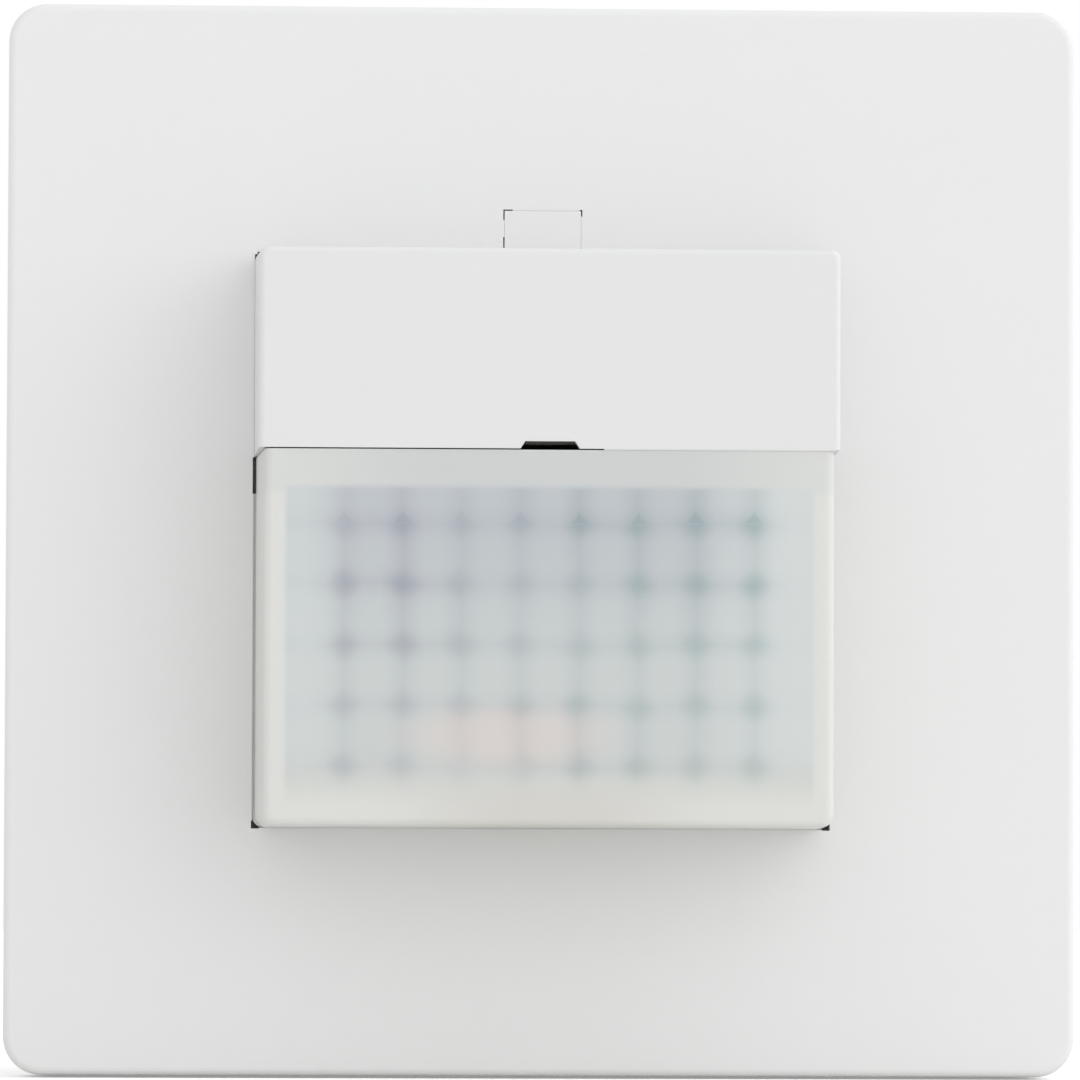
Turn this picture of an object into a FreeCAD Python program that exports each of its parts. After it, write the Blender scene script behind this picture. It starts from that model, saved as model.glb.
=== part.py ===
import FreeCAD, Part
import os
import re
import Sketcher
from FreeCAD import Placement, Rotation, Vector

# Flush-mounted infrared motion sensor for a round 60 mm wall box.
# X runs to the right, Z up and -Y into the room. The wall's surface is y = 0 and the origin is the
# middle of the wall box. "Lift" below is the height of a face above the wall, towards the room.

doc = FreeCAD.newDocument("MotionSensor")
sheet = doc.addObject("Spreadsheet::Sheet", "dims")

driving = {
    # cover plate
    "plate_size": 81.0, "plate_lift": 10.5, "plate_face": 2.0, "plate_skirt": 1.8,
    "plate_corner": 2.9, "plate_edge": 0.6, "opening_size": 43.8,
    "window_width": 6.0, "window_height": 3.2, "rib_height": 1.2, "rib_thick": 1.0,
    # sensing head
    "head_lift": 23.5, "head_gap": 0.08, "seam_height": 6.1, "seam_gap": 0.1,
    "hood_wall": 1.22, "hood_draft": 0.24, "hood_top_draft": 0.72, "hood_edge": 0.45, "hood_corner": 0.7,
    "notch_width": 4.4, "notch_slope": 0.35, "notch_height": 0.55,
    # lens
    "lens_wall": 1.65, "lens_face": 1.2, "lens_draft": 0.6, "lens_bottom_draft": 0.04,
    "lens_edge": 0.6, "lens_corner": 0.9, "lens_foot": 1.8, "lens_step": 0.12, "ear_height": 2.7,
    "rise_ratio": 1.0345, "facet_columns": 9, "facet_rows": 4,
    "facet_radius": 2.65, "facet_depth": 0.12, "facet_overlap": 0.05,
    "rows_top": 0.6, "field_side": 0.475, "field_top": 1.15, "field_low": 0.1,
    # chassis that carries the head
    "flange_size": 60.0, "flange_thick": 1.5, "skirt_wall": 1.4, "relief_wall": 0.7,
    "tower_gap": 0.15, "tower_wall": 1.4, "collar_height": 4.0, "panel_drop": 3.6, "part_gap": 0.3,
    # setting dials
    "dial_x": 9.5, "dial_gap": 0.3, "bay_gap": 0.2, "dial_proud": 0.4,
    "dial_lip": 0.8, "shaft_radius": 1.6, "running_gap": 0.05, "slot_width": 1.0, "slot_depth": 0.9,
    "pot_height": 4.8, "pot_floor": 2.0,
    # sensor board and detectors
    "board_thick": 1.6, "board_screw_radius": 1.0,
    "screw_fit": 0.03, "pyro_x": 5.6, "holder_gap": 1.5, "pyro_radius": 4.1, "pyro_height": 4.2,
    "pyro_base": 4.55, "pyro_flange": 0.6, "pyro_tilt": 18.0, "pyro_window": 3.4, "filter_thick": 0.3,
    "holder_x": 11.0, "holder_z": 5.0, "holder_height": 4.2, "seat_height": 1.8,
    "lamp_x": 6.5, "lamp_z": 0.5, "lamp_radius": 1.5, "lamp_height": 3.8, "lamp_rim": 0.3,
    # release tab
    "tab_shift": 0.0, "tab_gap": 0.1, "tab_collar": 1.0, "tab_shoulder": 1.3,
    "shelf_lift": 2.6, "shelf_thick": 0.8, "leaf_gauge": 0.2, "leaf_width": 4.0,
    # plug between head and insert
    "pin_pitch": 2.54, "pin_count": 6, "pin_width": 0.64, "pin_gap": 0.1, "pin_tip": -1.0,
    "plug_height": 2.4, "plug_depth": 2.6, "socket_lift": 1.9, "socket_depth": 4.0, "socket_hole": 3.6,
    # retaining springs
    "spring_gauge": 0.4, "spring_width": 5.0, "spring_x": 8.5, "spring_bulge": 0.8, "spring_tail": 4.4,
    # mounting ring
    "ring_gauge": 1.0, "ring_margin": 3.2, "ring_corner": 5.0, "box_screw_spacing": 60.0,
    "box_slot_width": 3.8, "box_slot_length": 7.2, "ring_gap": 0.25,
    "ring_screw_x": 19.0, "ring_screw_radius": 1.1,
    # insert housing
    "insert_side": 6.0, "insert_wall": 1.5,
    "insert_depth": 22.0, "insert_front": 1.2, "insert_lip": 1.2, "insert_gap": 1.0, "ear_radius": 3.0,
    "post_half": 1.8, "post_x": 13.0, "post_z": 16.0, "board_drop": 6.4, "board_inset": 0.3,
    # rear cover and terminals
    "cover_depth": 9.0, "cover_wall": 1.6, "spigot_length": 2.0, "terminal_share": 0.24, "terminal_step": 4.8,
    "clamp_width": 6.0, "clamp_wall": 0.9, "clamp_roof": 2.0, "clamp_depth": 5.6,
    "clamp_tail": 1.0, "wire_hole": 1.9, "terminal_screw_radius": 1.3, "terminal_head": 1.9,
    "terminal_head_height": 1.45, "driver_hole": 2.2,
    # parts on the power board
    "relay_side": 1.1, "relay_z": -3.6, "relay_width": 15.2, "relay_height": 19.6, "relay_depth": 11.0,
    "film_x": 8.7, "film_z": -5.0, "film_width": 13.0, "film_height": 6.0, "film_depth": 11.0,
    "can_side": 7.0, "can_z": 4.2, "can_radius": 4.0, "can_depth": 11.5,
    "disc_x": -12.0, "disc_z": 9.9, "disc_radius": 3.4, "disc_thick": 3.0,
    "fuse_side": 1.8, "fuse_z": 4.5, "fuse_radius": 1.7, "fuse_length": 9.0,
    "choke_x": 6.0, "choke_z": -14.5, "choke_radius": 3.4, "choke_depth": 6.5,
    # spreading claws
    "knuckle_radius": 1.0, "knuckle_side": 1.4, "knuckle_drop": 3.8, "lug_thick": 1.0, "lug_z": 5.2,
    "claw_gauge": 1.1, "claw_half": 4.0, "claw_length": 5.6, "claw_leg": 15.7, "claw_tooth": 24.6,
    "claw_screw_side": 3.0, "claw_screw_radius": 1.5, "claw_screw_length": 15.0, "claw_head": 2.8,
    "claw_head_height": 2.0, "claw_slot": 3.6, "claw_web": 3.0,
}

derived = {
    "plate_back": "plate_lift - plate_face",
    "flange_back": "plate_back - flange_thick",
    "hood_half": "opening_size / 2 - head_gap",
    "hood_foot": "seam_height + seam_gap",
    "lens_half": "hood_half - lens_step",
    "tower_half": "hood_half - hood_wall - tower_gap * 2",
    "tower_foot": "seam_height + 4 * tower_gap",
    "panel_lift": "head_lift - panel_drop",
    "panel_back": "panel_lift - tower_wall",
    "collar_half": "lens_half - lens_wall - tower_gap",
    "collar_top": "seam_height - lens_wall - tower_gap",
    "board_back": "flange_back - board_thick",
    "pot_lift": "flange_back + pot_height",
    "dial_z": "(tower_foot + tower_half) / 2",
    "dial_radius": "(tower_half - tower_foot) / 2 - tower_wall - bay_gap - dial_lip",
    "pot_size": "tower_half - tower_foot - 2 * tower_wall - 4 * part_gap",
    "board_screw_place": "tower_half + 2 * running_gap",
    "tab_foot": "opening_size / 2 + tab_gap",
    "board_size": "2 * (tab_foot - 2 * tab_gap)",
    "tab_top": "opening_size / 2 + window_height - tab_gap",
    "tab_half": "window_width / 2 - tab_gap",
    "skirt_half": "tab_top + part_gap + relief_wall",
    "skirt_inside": "skirt_half - skirt_wall",
    "facet_pitch": "2 * (lens_half - lens_wall - field_side) / facet_columns",
    "facet_rise": "facet_pitch * rise_ratio",
    "facet_ball": "(facet_radius ^ 2 + facet_depth ^ 2) / (2 * facet_depth)",
    "rows_low": "rows_top - facet_rise * facet_rows",
    "top_part": "seam_height - lens_wall - field_top - rows_top",
    "bottom_part": "lens_half - lens_wall - field_low + rows_low",
    "pyro_seat": "flange_back + seat_height",
    "pyro_z": "-(collar_half - tower_wall - holder_z - holder_gap)",
    "ring_half": "plate_size / 2 - plate_skirt - ring_margin",
    "ring_screw_z": "skirt_inside - insert_gap - ear_radius - tower_gap",
    "insert_half_z": "skirt_inside - insert_gap - insert_lip",
    "insert_half_x": "skirt_half - insert_side",
    "insert_round": "skirt_half",
    "relay_x": "-(insert_half_x - insert_wall - relay_side - relay_width / 2)",
    "fuse_x": "insert_half_x - insert_wall - fuse_side - fuse_radius",
    "can_x": "fuse_x - can_side",
    "terminal_pitch": "insert_half_x * terminal_share + terminal_step",
    "knuckle_x": "insert_half_x + knuckle_side",
    "claw_reach": "knuckle_x + claw_length",
    "claw_screw_x": "knuckle_x + claw_screw_side",
    "insert_lift": "ring_gauge + insert_front",
    "insert_back": "-insert_depth",
    "cover_back": "-insert_depth - cover_depth",
    "power_lift": "-board_drop",
    "power_back": "-board_drop - board_thick",
    "clamp_back": "cover_back + cover_wall + screw_fit",
    "clamp_front": "clamp_back + clamp_depth",
    "clamp_half": "wire_hole + 2 * tower_gap / 2",
    "clamp_top": "insert_half_z - cover_wall - part_gap - terminal_head_height",
    "terminal_z": "clamp_top - clamp_roof - clamp_half",
}

aliases = set(driving) | set(derived)


def bound(text):
    """Point every word of an expression that is a dimension's alias to its cell."""
    return re.sub(r"[a-z][a-z_]*", lambda m: "dims." + m[0] if m[0] in aliases else m[0], str(text))


for row, (alias, entry) in enumerate([*driving.items(), *derived.items()], start=1):
    sheet.set(f"A{row}", alias)
    sheet.set(f"B{row}", f"={entry}" if alias in derived else str(entry))
    sheet.setAlias(f"B{row}", alias)
doc.recompute()

pieces = {}


def number(text):
    return float(sheet.evalExpression(bound(text)))


def bind(thing, **sizes):
    """Drive a thing's properties from the sheet; a double underscore stands for a dot."""
    for name, text in sizes.items():
        thing.setExpression(name.replace("__", "."), bound(text))
    return thing


# Sketches and solid features

def body(label):
    return named(doc.addObject("PartDesign::Body", label), label)


def origin_part(owner, role):
    return next(f for f in owner.Origin.OriginFeatures if f.Role == role)


def sketch(owner, name, lift="0", plane="XZ_Plane"):
    made = owner.newObject("Sketcher::SketchObject", name)
    made.AttachmentSupport = [(origin_part(owner, plane), "")]
    made.MapMode = "FlatFace"
    made.setExpression(".AttachmentOffset.Base.z", bound(lift))
    return made


def hold(made, kind, *where, text):
    index = made.addConstraint(Sketcher.Constraint(kind, *where, number(text)))
    made.setExpression(f"Constraints[{index}]", bound(text))


def polygon(made, corners):
    """A closed outline whose corners are pairs of expressions."""
    first = made.GeometryCount
    spots = [Vector(number(a), number(b), 0) for a, b in corners]
    for start, end in zip(spots, spots[1:] + spots[:1]):
        made.addGeometry(Part.LineSegment(start, end), False)
    for i, (a, b) in enumerate(corners):
        after = first + (i + 1) % len(corners)
        made.addConstraint(Sketcher.Constraint("Coincident", first + i, 2, after, 1))
        hold(made, "DistanceX", -1, 1, first + i, 1, text=a)
        hold(made, "DistanceY", -1, 1, first + i, 1, text=b)
    return made


def rectangle(made, left, low, right, high):
    return polygon(made, [(left, low), (right, low), (right, high), (left, high)])


def square(made, half_x, half_z=None):
    half_z = half_z or half_x
    return rectangle(made, f"-({half_x})", f"-({half_z})", half_x, half_z)


def square_at(made, x, z, half):
    return rectangle(made, f"{x} - {half}", f"{z} - {half}", f"{x} + {half}", f"{z} + {half}")


def circle(made, x, z, radius):
    index = made.GeometryCount
    made.addGeometry(Part.Circle(Vector(number(x), number(z), 0), Vector(0, 0, 1), number(radius)), False)
    hold(made, "DistanceX", -1, 1, index, 3, text=x)
    hold(made, "DistanceY", -1, 1, index, 3, text=z)
    hold(made, "Radius", index, text=radius)
    return made


def slot(made, x, z, width, length):
    """An upright slot: two half circles joined by two straight sides."""
    first = made.GeometryCount
    radius, half = number(width) / 2, (number(length) - number(width)) / 2
    middle, up = Vector(number(x), number(z), 0), Vector(0, 1, 0)
    side = Vector(radius, 0, 0)
    for sign in (1, -1):
        centre = middle + up * half * sign
        rim = [centre + side * sign, centre + up * radius * sign, centre - side * sign]
        made.addGeometry(Part.Arc(*rim), False)
    made.addGeometry(Part.LineSegment(middle + up * half - side, middle - up * half - side), False)
    made.addGeometry(Part.LineSegment(middle - up * half + side, middle + up * half + side), False)
    for arc, end, line, tip in ((0, 2, 2, 1), (1, 1, 2, 2), (1, 2, 3, 1), (0, 1, 3, 2)):
        made.addConstraint(Sketcher.Constraint("Tangent", first + arc, end, first + line, tip))
    for arc, sign in ((0, "+"), (1, "-")):
        hold(made, "DistanceX", -1, 1, first + arc, 3, text=x)
        hold(made, "DistanceY", -1, 1, first + arc, 3, text=f"{z} {sign} ({length} - {width}) / 2")
    hold(made, "Radius", first, text=f"{width} / 2")
    return made


def box_outline(made, half_x, half_z, radius):
    """A rectangle whose corners are cut by a circle, so that it goes into a round wall box."""
    first = made.GeometryCount
    wide, high, round_ = number(half_x), number(half_z), number(radius)
    cut_x, cut_z = (round_**2 - high**2) ** 0.5, (round_**2 - wide**2) ** 0.5
    diagonal = round_ / 2**0.5
    corners = [(wide, -cut_z), (wide, cut_z), (cut_x, high), (-cut_x, high),
               (-wide, cut_z), (-wide, -cut_z), (-cut_x, -high), (cut_x, -high)]
    spots = [Vector(x, z, 0) for x, z in corners]
    between = [Vector(x * diagonal, z * diagonal, 0) for x, z in ((1, 1), (-1, 1), (-1, -1), (1, -1))]
    for i in range(4):
        made.addGeometry(Part.LineSegment(spots[2 * i], spots[2 * i + 1]), False)
        made.addGeometry(Part.Arc(spots[2 * i + 1], between[i], spots[(2 * i + 2) % 8]), False)
    for i in range(4):
        line, arc, after = first + 2 * i, first + 2 * i + 1, first + (2 * i + 2) % 8
        made.addConstraint(Sketcher.Constraint("Coincident", line, 2, arc, 1))
        made.addConstraint(Sketcher.Constraint("Coincident", arc, 2, after, 1))
        made.addConstraint(Sketcher.Constraint("Coincident", arc, 3, -1, 1))
        made.addConstraint(Sketcher.Constraint("Horizontal" if i % 2 else "Vertical", line))
        way, size = ("DistanceY", half_z) if i % 2 else ("DistanceX", half_x)
        hold(made, way, -1, 1, line, 1, text=f"-({size})" if i > 1 else size)
    hold(made, "Radius", first + 1, text=radius)
    return made


def pad(owner, profile, length, name="Pad", towards_wall=False, **more):
    made = owner.newObject("PartDesign::Pad", name)
    made.Profile = profile
    made.Reversed = towards_wall
    return bind(made, Length=length, **more)


def pocket(owner, profile, depth, name="Pocket", towards_room=True):
    """Cut from the sketch's lift towards the room, or towards the wall."""
    before = owner_volume(owner)
    made = owner.newObject("PartDesign::Pocket", name)
    made.Profile = profile
    made.Reversed = towards_room
    bind(made, Length=depth)
    check_cut(owner, before, name)
    return made


def cross_pocket(owner, profile, depth, name="CrossPocket"):
    """Cut both ways from the sketch's plane."""
    before = owner_volume(owner)
    made = owner.newObject("PartDesign::Pocket", name)
    made.Profile = profile
    made.SideType = "Symmetric"
    bind(made, Length=depth)
    check_cut(owner, before, name)
    return made


def owner_volume(owner):
    doc.recompute()
    return owner.Shape.Volume


def check_cut(owner, before, name):
    if not owner_volume(owner) < before - 1e-6:
        raise RuntimeError(f"{owner.Label}: {name} cuts nothing")


def edges_where(feature, test):
    return [f"Edge{i}" for i, edge in enumerate(feature.Shape.Edges, start=1) if test(edge)]


def fillet(owner, radius, test, name="Fillet"):
    """Round the tip's edges that pass the test."""
    doc.recompute()
    base = owner.Tip
    found = edges_where(base, test)
    if not found:
        raise RuntimeError(f"{owner.Label}: {name} finds no edge")
    made = owner.newObject("PartDesign::Fillet", name)
    made.Base = (base, found)
    bind(made, Radius=radius)
    doc.recompute()
    return made


def ends(edge):
    return [vertex.Point for vertex in edge.Vertexes]


def runs_in(edge, axis, slack=0.05):
    """Whether an edge with two ends runs along an axis, draft allowed."""
    spots = ends(edge)
    if len(spots) != 2:
        return False
    way = (spots[1] - spots[0]).normalize()
    return abs(way.dot(axis)) > 1 - slack


def at_lift(edge, lift):
    return all(abs(-spot.y - number(lift)) < 1e-4 for spot in ends(edge))


ALONG_X, ALONG_Y, ALONG_Z = Vector(1, 0, 0), Vector(0, 1, 0), Vector(0, 0, 1)


# Plain solids placed by their faces

def block(x0, x1, low, high, z0, z1):
    """A box between two X, two lifts and two Z."""
    made = doc.addObject("Part::Box", "Block")
    bind(made, Length=f"({x1}) - ({x0})", Width=f"({high}) - ({low})", Height=f"({z1}) - ({z0})")
    return bind(made, Placement__Base__x=x0, Placement__Base__y=f"-({high})", Placement__Base__z=z0)


def rod(radius, x, z, low, high):
    """A cylinder square to the wall, between two lifts."""
    made = doc.addObject("Part::Cylinder", "Rod")
    made.Placement = Placement(Vector(), Rotation(ALONG_X, 90))
    bind(made, Radius=radius, Height=f"({high}) - ({low})")
    return bind(made, Placement__Base__x=x, Placement__Base__y=f"-({low})", Placement__Base__z=z)


def upright(radius, x, lift, z0, z1):
    """A cylinder along Z."""
    made = doc.addObject("Part::Cylinder", "Upright")
    bind(made, Radius=radius, Height=f"({z1}) - ({z0})")
    return bind(made, Placement__Base__x=x, Placement__Base__y=f"-({lift})", Placement__Base__z=z0)


def joined(tools, label=None):
    made = doc.addObject("Part::MultiFuse", label or "Joined")
    made.Shapes = tools
    return named(made, label)


def cut(base, tools, label=None):
    made = doc.addObject("Part::Cut", label or "CutOut")
    made.Base = base
    made.Tool = tools[0] if len(tools) == 1 else joined(tools)
    return named(made, label)


def group(members, label=None):
    made = doc.addObject("Part::Compound", label or "Group")
    made.Links = members
    return named(made, label)


def named(made, label):
    if label:
        made.Label = label
        pieces[label] = made
    return made


def mirrored(source, normal):
    made = doc.addObject("Part::Mirroring", "Mirror")
    made.Source = source
    made.Normal = normal
    return made


# Cover plate: a shallow square shell with the head's opening and the tab's window

def cover_plate():
    plate = body("cover_plate")
    pad(plate, square(sketch(plate, "Outline"), "plate_size / 2"), "plate_lift", "Block")
    fillet(plate, "plate_corner", lambda e: runs_in(e, ALONG_Y), "Corners")
    fillet(plate, "plate_edge", lambda e: at_lift(e, "plate_lift"), "FrontEdge")
    hollow = square(sketch(plate, "Hollow"), "plate_size / 2 - plate_skirt")
    pocket(plate, hollow, "plate_back", "Inside")
    opening = square(sketch(plate, "Opening", "plate_back"), "opening_size / 2")
    pocket(plate, opening, "plate_face", "HeadOpening")
    window = sketch(plate, "Window", "plate_back")
    rectangle(window, "tab_shift - window_width / 2", "opening_size / 2 - plate_edge",
              "tab_shift + window_width / 2", "opening_size / 2 + window_height")
    pocket(plate, window, "plate_face", "TabWindow")
    # four ribs inside keep the plate square on the chassis flange
    ribs = sketch(plate, "Ribs", "plate_back - rib_height")
    near, far = "flange_size / 2 + tower_gap", "flange_size / 2 + tower_gap + rib_thick"
    reach = "flange_size / 3"
    for sign in ("", "-"):
        rectangle(ribs, f"{sign}({near})", f"-({reach})", f"{sign}({far})", reach)
        rectangle(ribs, f"-({reach})", f"{sign}({near})", reach, f"{sign}({far})")
    pad(plate, ribs, "rib_height", "LocatingRibs")


def drafted(owner, half, low, high, draft):
    """The head's block between two heights, narrower at its front by a draft on each side."""
    outline = sketch(owner, "Plan", low, "XY_Plane")
    polygon(outline, [(f"-{half}", "-plate_back"), (f"-{half} + {draft}", "-head_lift"),
                      (f"{half} - {draft}", "-head_lift"), (half, "-plate_back")])
    pad(owner, outline, f"{high} - ({low})", "Block")


# Hood: a drafted cap over the setting dials, open below and behind

def hood_cap():
    hood = body("hood_cap")
    drafted(hood, "hood_half", "hood_foot", "hood_half", "hood_draft")
    wedge = sketch(hood, "TopSlope", plane="YZ_Plane")
    polygon(wedge, [("-plate_back", "hood_half"), ("-head_lift", "hood_half - hood_top_draft"),
                    ("-head_lift", "hood_half + hood_edge"), ("-plate_back", "hood_half + hood_edge")])
    cross_pocket(hood, wedge, "opening_size", "TopDraft")
    middle = "(hood_foot + hood_half) / 2"
    fillet(hood, "hood_corner", lambda e: runs_in(e, ALONG_Y) and ends(e)[0].z > number(middle), "TopCorners")
    fillet(hood, "hood_edge", lambda e: at_lift(e, "head_lift") and
           max(p.z for p in ends(e)) > number("hood_foot") + 1e-3, "FrontEdge")
    inside = sketch(hood, "Inside", "plate_back")
    rectangle(inside, "-hood_half + hood_wall", "hood_foot - hood_wall",
              "hood_half - hood_wall", "hood_half - hood_wall")
    pocket(hood, inside, "head_lift - plate_back - hood_wall", "Hollow")
    notch = sketch(hood, "Notch", "head_lift - hood_wall - hood_edge")
    polygon(notch, [("-notch_width / 2", "hood_foot - notch_slope"),
                    ("notch_width / 2", "hood_foot - notch_slope"), ("notch_width / 2", "hood_foot"),
                    ("notch_width / 2 - notch_slope", "hood_foot + notch_height"),
                    ("-notch_width / 2 + notch_slope", "hood_foot + notch_height"),
                    ("-notch_width / 2", "hood_foot")])
    pocket(hood, notch, "hood_wall + hood_edge * 2", "PryNotch")


# Lens: a milky drafted cap with an array of dished facets on the inside of its face

def lens_window():
    lens = body("lens_window")
    drafted(lens, "lens_half", "-hood_half", "seam_height", "lens_draft")
    wedge = sketch(lens, "BottomSlope", plane="YZ_Plane")
    polygon(wedge, [("-plate_back", "-hood_half"), ("-plate_back", "-hood_half - lens_edge"),
                    ("-head_lift", "-hood_half - lens_edge"),
                    ("-head_lift", "-hood_half + lens_bottom_draft")])
    cross_pocket(lens, wedge, "opening_size", "BottomDraft")
    fillet(lens, "lens_corner", lambda e: runs_in(e, ALONG_Y) and ends(e)[0].z < 0, "BottomCorners")
    fillet(lens, "lens_edge", lambda e: at_lift(e, "head_lift") and min(p.z for p in ends(e)) <
           number("seam_height") - 1e-3, "FrontEdge")
    rim = sketch(lens, "Rim", "plate_back")
    rectangle(rim, "-hood_half", "-hood_half", "hood_half", "seam_height - ear_height")
    pad(lens, rim, "lens_foot", "FootRim")
    fillet(lens, "lens_corner", lambda e: runs_in(e, ALONG_Y) and ends(e)[0].z < -number("lens_half")
           and abs(ends(e)[0].x) > number("lens_half") and max(-p.y for p in ends(e)) <
           number("plate_back + lens_foot") + 1e-3, "RimCorners")
    inside = sketch(lens, "Inside", "plate_back")
    rectangle(inside, "-lens_half + lens_wall", "-lens_half + lens_wall",
              "lens_half - lens_wall", "seam_height - lens_wall")
    pocket(lens, inside, "head_lift - plate_back - lens_face", "Hollow")
    half = "facet_rise / 2 + facet_overlap"
    facets(lens, "Facets", "rows_low + facet_rise / 2", half, half, "facet_rows")
    facets(lens, "TopFacets", "rows_top + facet_rise / 2", half, "top_part - facet_rise / 2", "1")
    facets(lens, "BottomFacets", "rows_low - facet_rise / 2", "bottom_part - facet_rise / 2", half, "1")


def facets(lens, name, middle, below, above, rows):
    """Rows of shallow round dishes; each is the part of a ball's skin that one cell of the grid frames."""
    half_turn = "asin((facet_pitch / 2 + facet_overlap) / facet_ball)"
    dish = lens.newObject("PartDesign::SubtractiveSphere", name)
    dish.AttachmentSupport = [(origin_part(lens, "XY_Plane"), "")]
    dish.MapMode = "FlatFace"
    dish.AttachmentOffset = Placement(Vector(), Rotation(ALONG_Z, -90 - number(half_turn)))
    bind(dish, Radius="facet_ball", Angle3=f"2 * {half_turn}",
         Angle1=f"-asin(({below}) / facet_ball)", Angle2=f"asin(({above}) / facet_ball)")
    dish.setExpression(".AttachmentOffset.Base.x", bound("-facet_pitch * (facet_columns - 1) / 2"))
    dish.setExpression(".AttachmentOffset.Base.y", bound("lens_face - head_lift + facet_ball - facet_depth"))
    dish.setExpression(".AttachmentOffset.Base.z", bound(middle))
    doc.recompute()
    array = lens.newObject("PartDesign::MultiTransform", name + "Field")
    array.Originals = [dish]
    steps = []
    for axis, pitch, count in (("X_Axis", "facet_pitch", "facet_columns"), ("Z_Axis", "facet_rise", rows)):
        if number(count) < 2:
            continue
        step = lens.newObject("PartDesign::LinearPattern", name + axis[0])
        step.Direction = (origin_part(lens, axis), [""])
        bind(step, Length=f"{pitch} * ({count} - 1)", Occurrences=count)
        steps.append(step)
    array.Transformations = steps
    lens.Tip = array
    doc.recompute()


# Chassis: a flange behind the cover plate, a skirt down to the ring, a collar inside the lens and a
# tower with the dials' panel under the hood

def head_chassis():
    chassis = body("head_chassis")
    flange = square(sketch(chassis, "Flange", "flange_back"), "flange_size / 2")
    pad(chassis, flange, "flange_thick", "Flange")
    skirt = square(sketch(chassis, "Skirt", "ring_gauge"), "skirt_half")
    pad(chassis, square(skirt, "skirt_inside"), "flange_back - ring_gauge", "Skirt")
    tower = sketch(chassis, "Tower", "plate_back")
    rectangle(tower, "-tower_half", "tower_foot", "tower_half", "tower_half")
    pad(chassis, tower, "panel_lift - plate_back", "Tower")
    collar = sketch(chassis, "Collar", "plate_back")
    rectangle(collar, "-collar_half", "-collar_half", "collar_half", "collar_top")
    pad(chassis, collar, "collar_height", "Collar")
    light = sketch(chassis, "LightShaft", "flange_back")
    rectangle(light, "-collar_half + tower_wall", "-collar_half + tower_wall",
              "collar_half - tower_wall", "collar_top - tower_wall")
    pocket(chassis, light, "flange_thick + collar_height", "LightOpening")
    bay = sketch(chassis, "Bay", "flange_back")
    rectangle(bay, "-tower_half + tower_wall", "tower_foot + tower_wall", "tower_half - tower_wall",
              "tower_half - tower_wall")
    pocket(chassis, bay, "panel_back - flange_back", "DialBay")
    divider = sketch(chassis, "Divider", "plate_back")
    rectangle(divider, "-tower_wall / 2", "tower_foot", "tower_wall / 2", "tower_half")
    pad(chassis, divider, "panel_back - plate_back", "Divider")
    dials = sketch(chassis, "Dials", "panel_back")
    screws = sketch(chassis, "BoardScrews", "flange_back")
    for sign in ("", "-"):
        circle(dials, f"{sign}dial_x", "dial_z", "dial_radius + dial_gap")
    for x, z in pair("board_screw_place", "board_screw_place"):
        circle(screws, x, z, "board_screw_radius + screw_fit")
    pocket(chassis, dials, "tower_wall", "DialHoles")
    pocket(chassis, screws, "flange_thick", "BoardScrewHoles")
    window = sketch(chassis, "TabWindow", "flange_back")
    rectangle(window, "tab_shift - tab_half - tab_gap", "tab_foot - tab_gap",
              "tab_shift + tab_half + tab_gap", "tab_top + tab_gap")
    pocket(chassis, window, "flange_thick", "TabWindow")
    relief = sketch(chassis, "TabRelief", "ring_gauge")
    rectangle(relief, "tab_shift - tab_half - tab_shoulder - part_gap", "tab_foot",
              "tab_shift + tab_half + tab_shoulder + part_gap", "tab_top + part_gap")
    pocket(chassis, relief, "flange_back - ring_gauge", "TabRelief")
    shelf = sketch(chassis, "Shelf", "shelf_lift")
    rectangle(shelf, "tab_shift - tab_half - tab_shoulder", "tab_foot",
              "tab_shift + tab_half + tab_shoulder", "tab_top + 2 * part_gap")
    pad(chassis, shelf, "shelf_thick", "SpringShelf")
    heads = sketch(chassis, "ClawHeads", "ring_gauge")
    for left, right in (("-skirt_half - part_gap", "-skirt_inside + part_gap"),
                        ("skirt_inside - part_gap", "skirt_half + part_gap")):
        rectangle(heads, left, "-claw_head - part_gap", right, "claw_head + part_gap")
    pocket(chassis, heads, "claw_head_height + part_gap", "ClawHeadNotches")


# Release tab and the spring behind it

def release_tab():
    face = block("tab_shift - tab_half", "tab_shift + tab_half", "flange_back - tab_collar", "plate_lift",
                 "tab_foot", "tab_top")
    shoulder = block("tab_shift - tab_half - tab_shoulder", "tab_shift + tab_half + tab_shoulder",
                     "flange_back - tab_collar", "flange_back", "tab_foot", "tab_top")
    joined([face, shoulder], "release_tab")
    leaf = body("tab_spring")
    side = sketch(leaf, "Side", "tab_shift - leaf_width / 2", "YZ_Plane")
    low, high = "shelf_lift + shelf_thick", "flange_back - tab_collar"
    near, far = "tab_foot + tab_gap", "tab_top - tab_gap - 2 * leaf_gauge"
    bends = [(f"-({low}) - ({high} - ({low})) * {step} / 3", far if step % 2 else near) for step in range(4)]
    polygon(side, bends + [(lift, f"{z} + 2 * leaf_gauge") for lift, z in reversed(bends)])
    pad(leaf, side, "leaf_width", "Strip")


# Setting dials on their potentiometers

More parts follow.
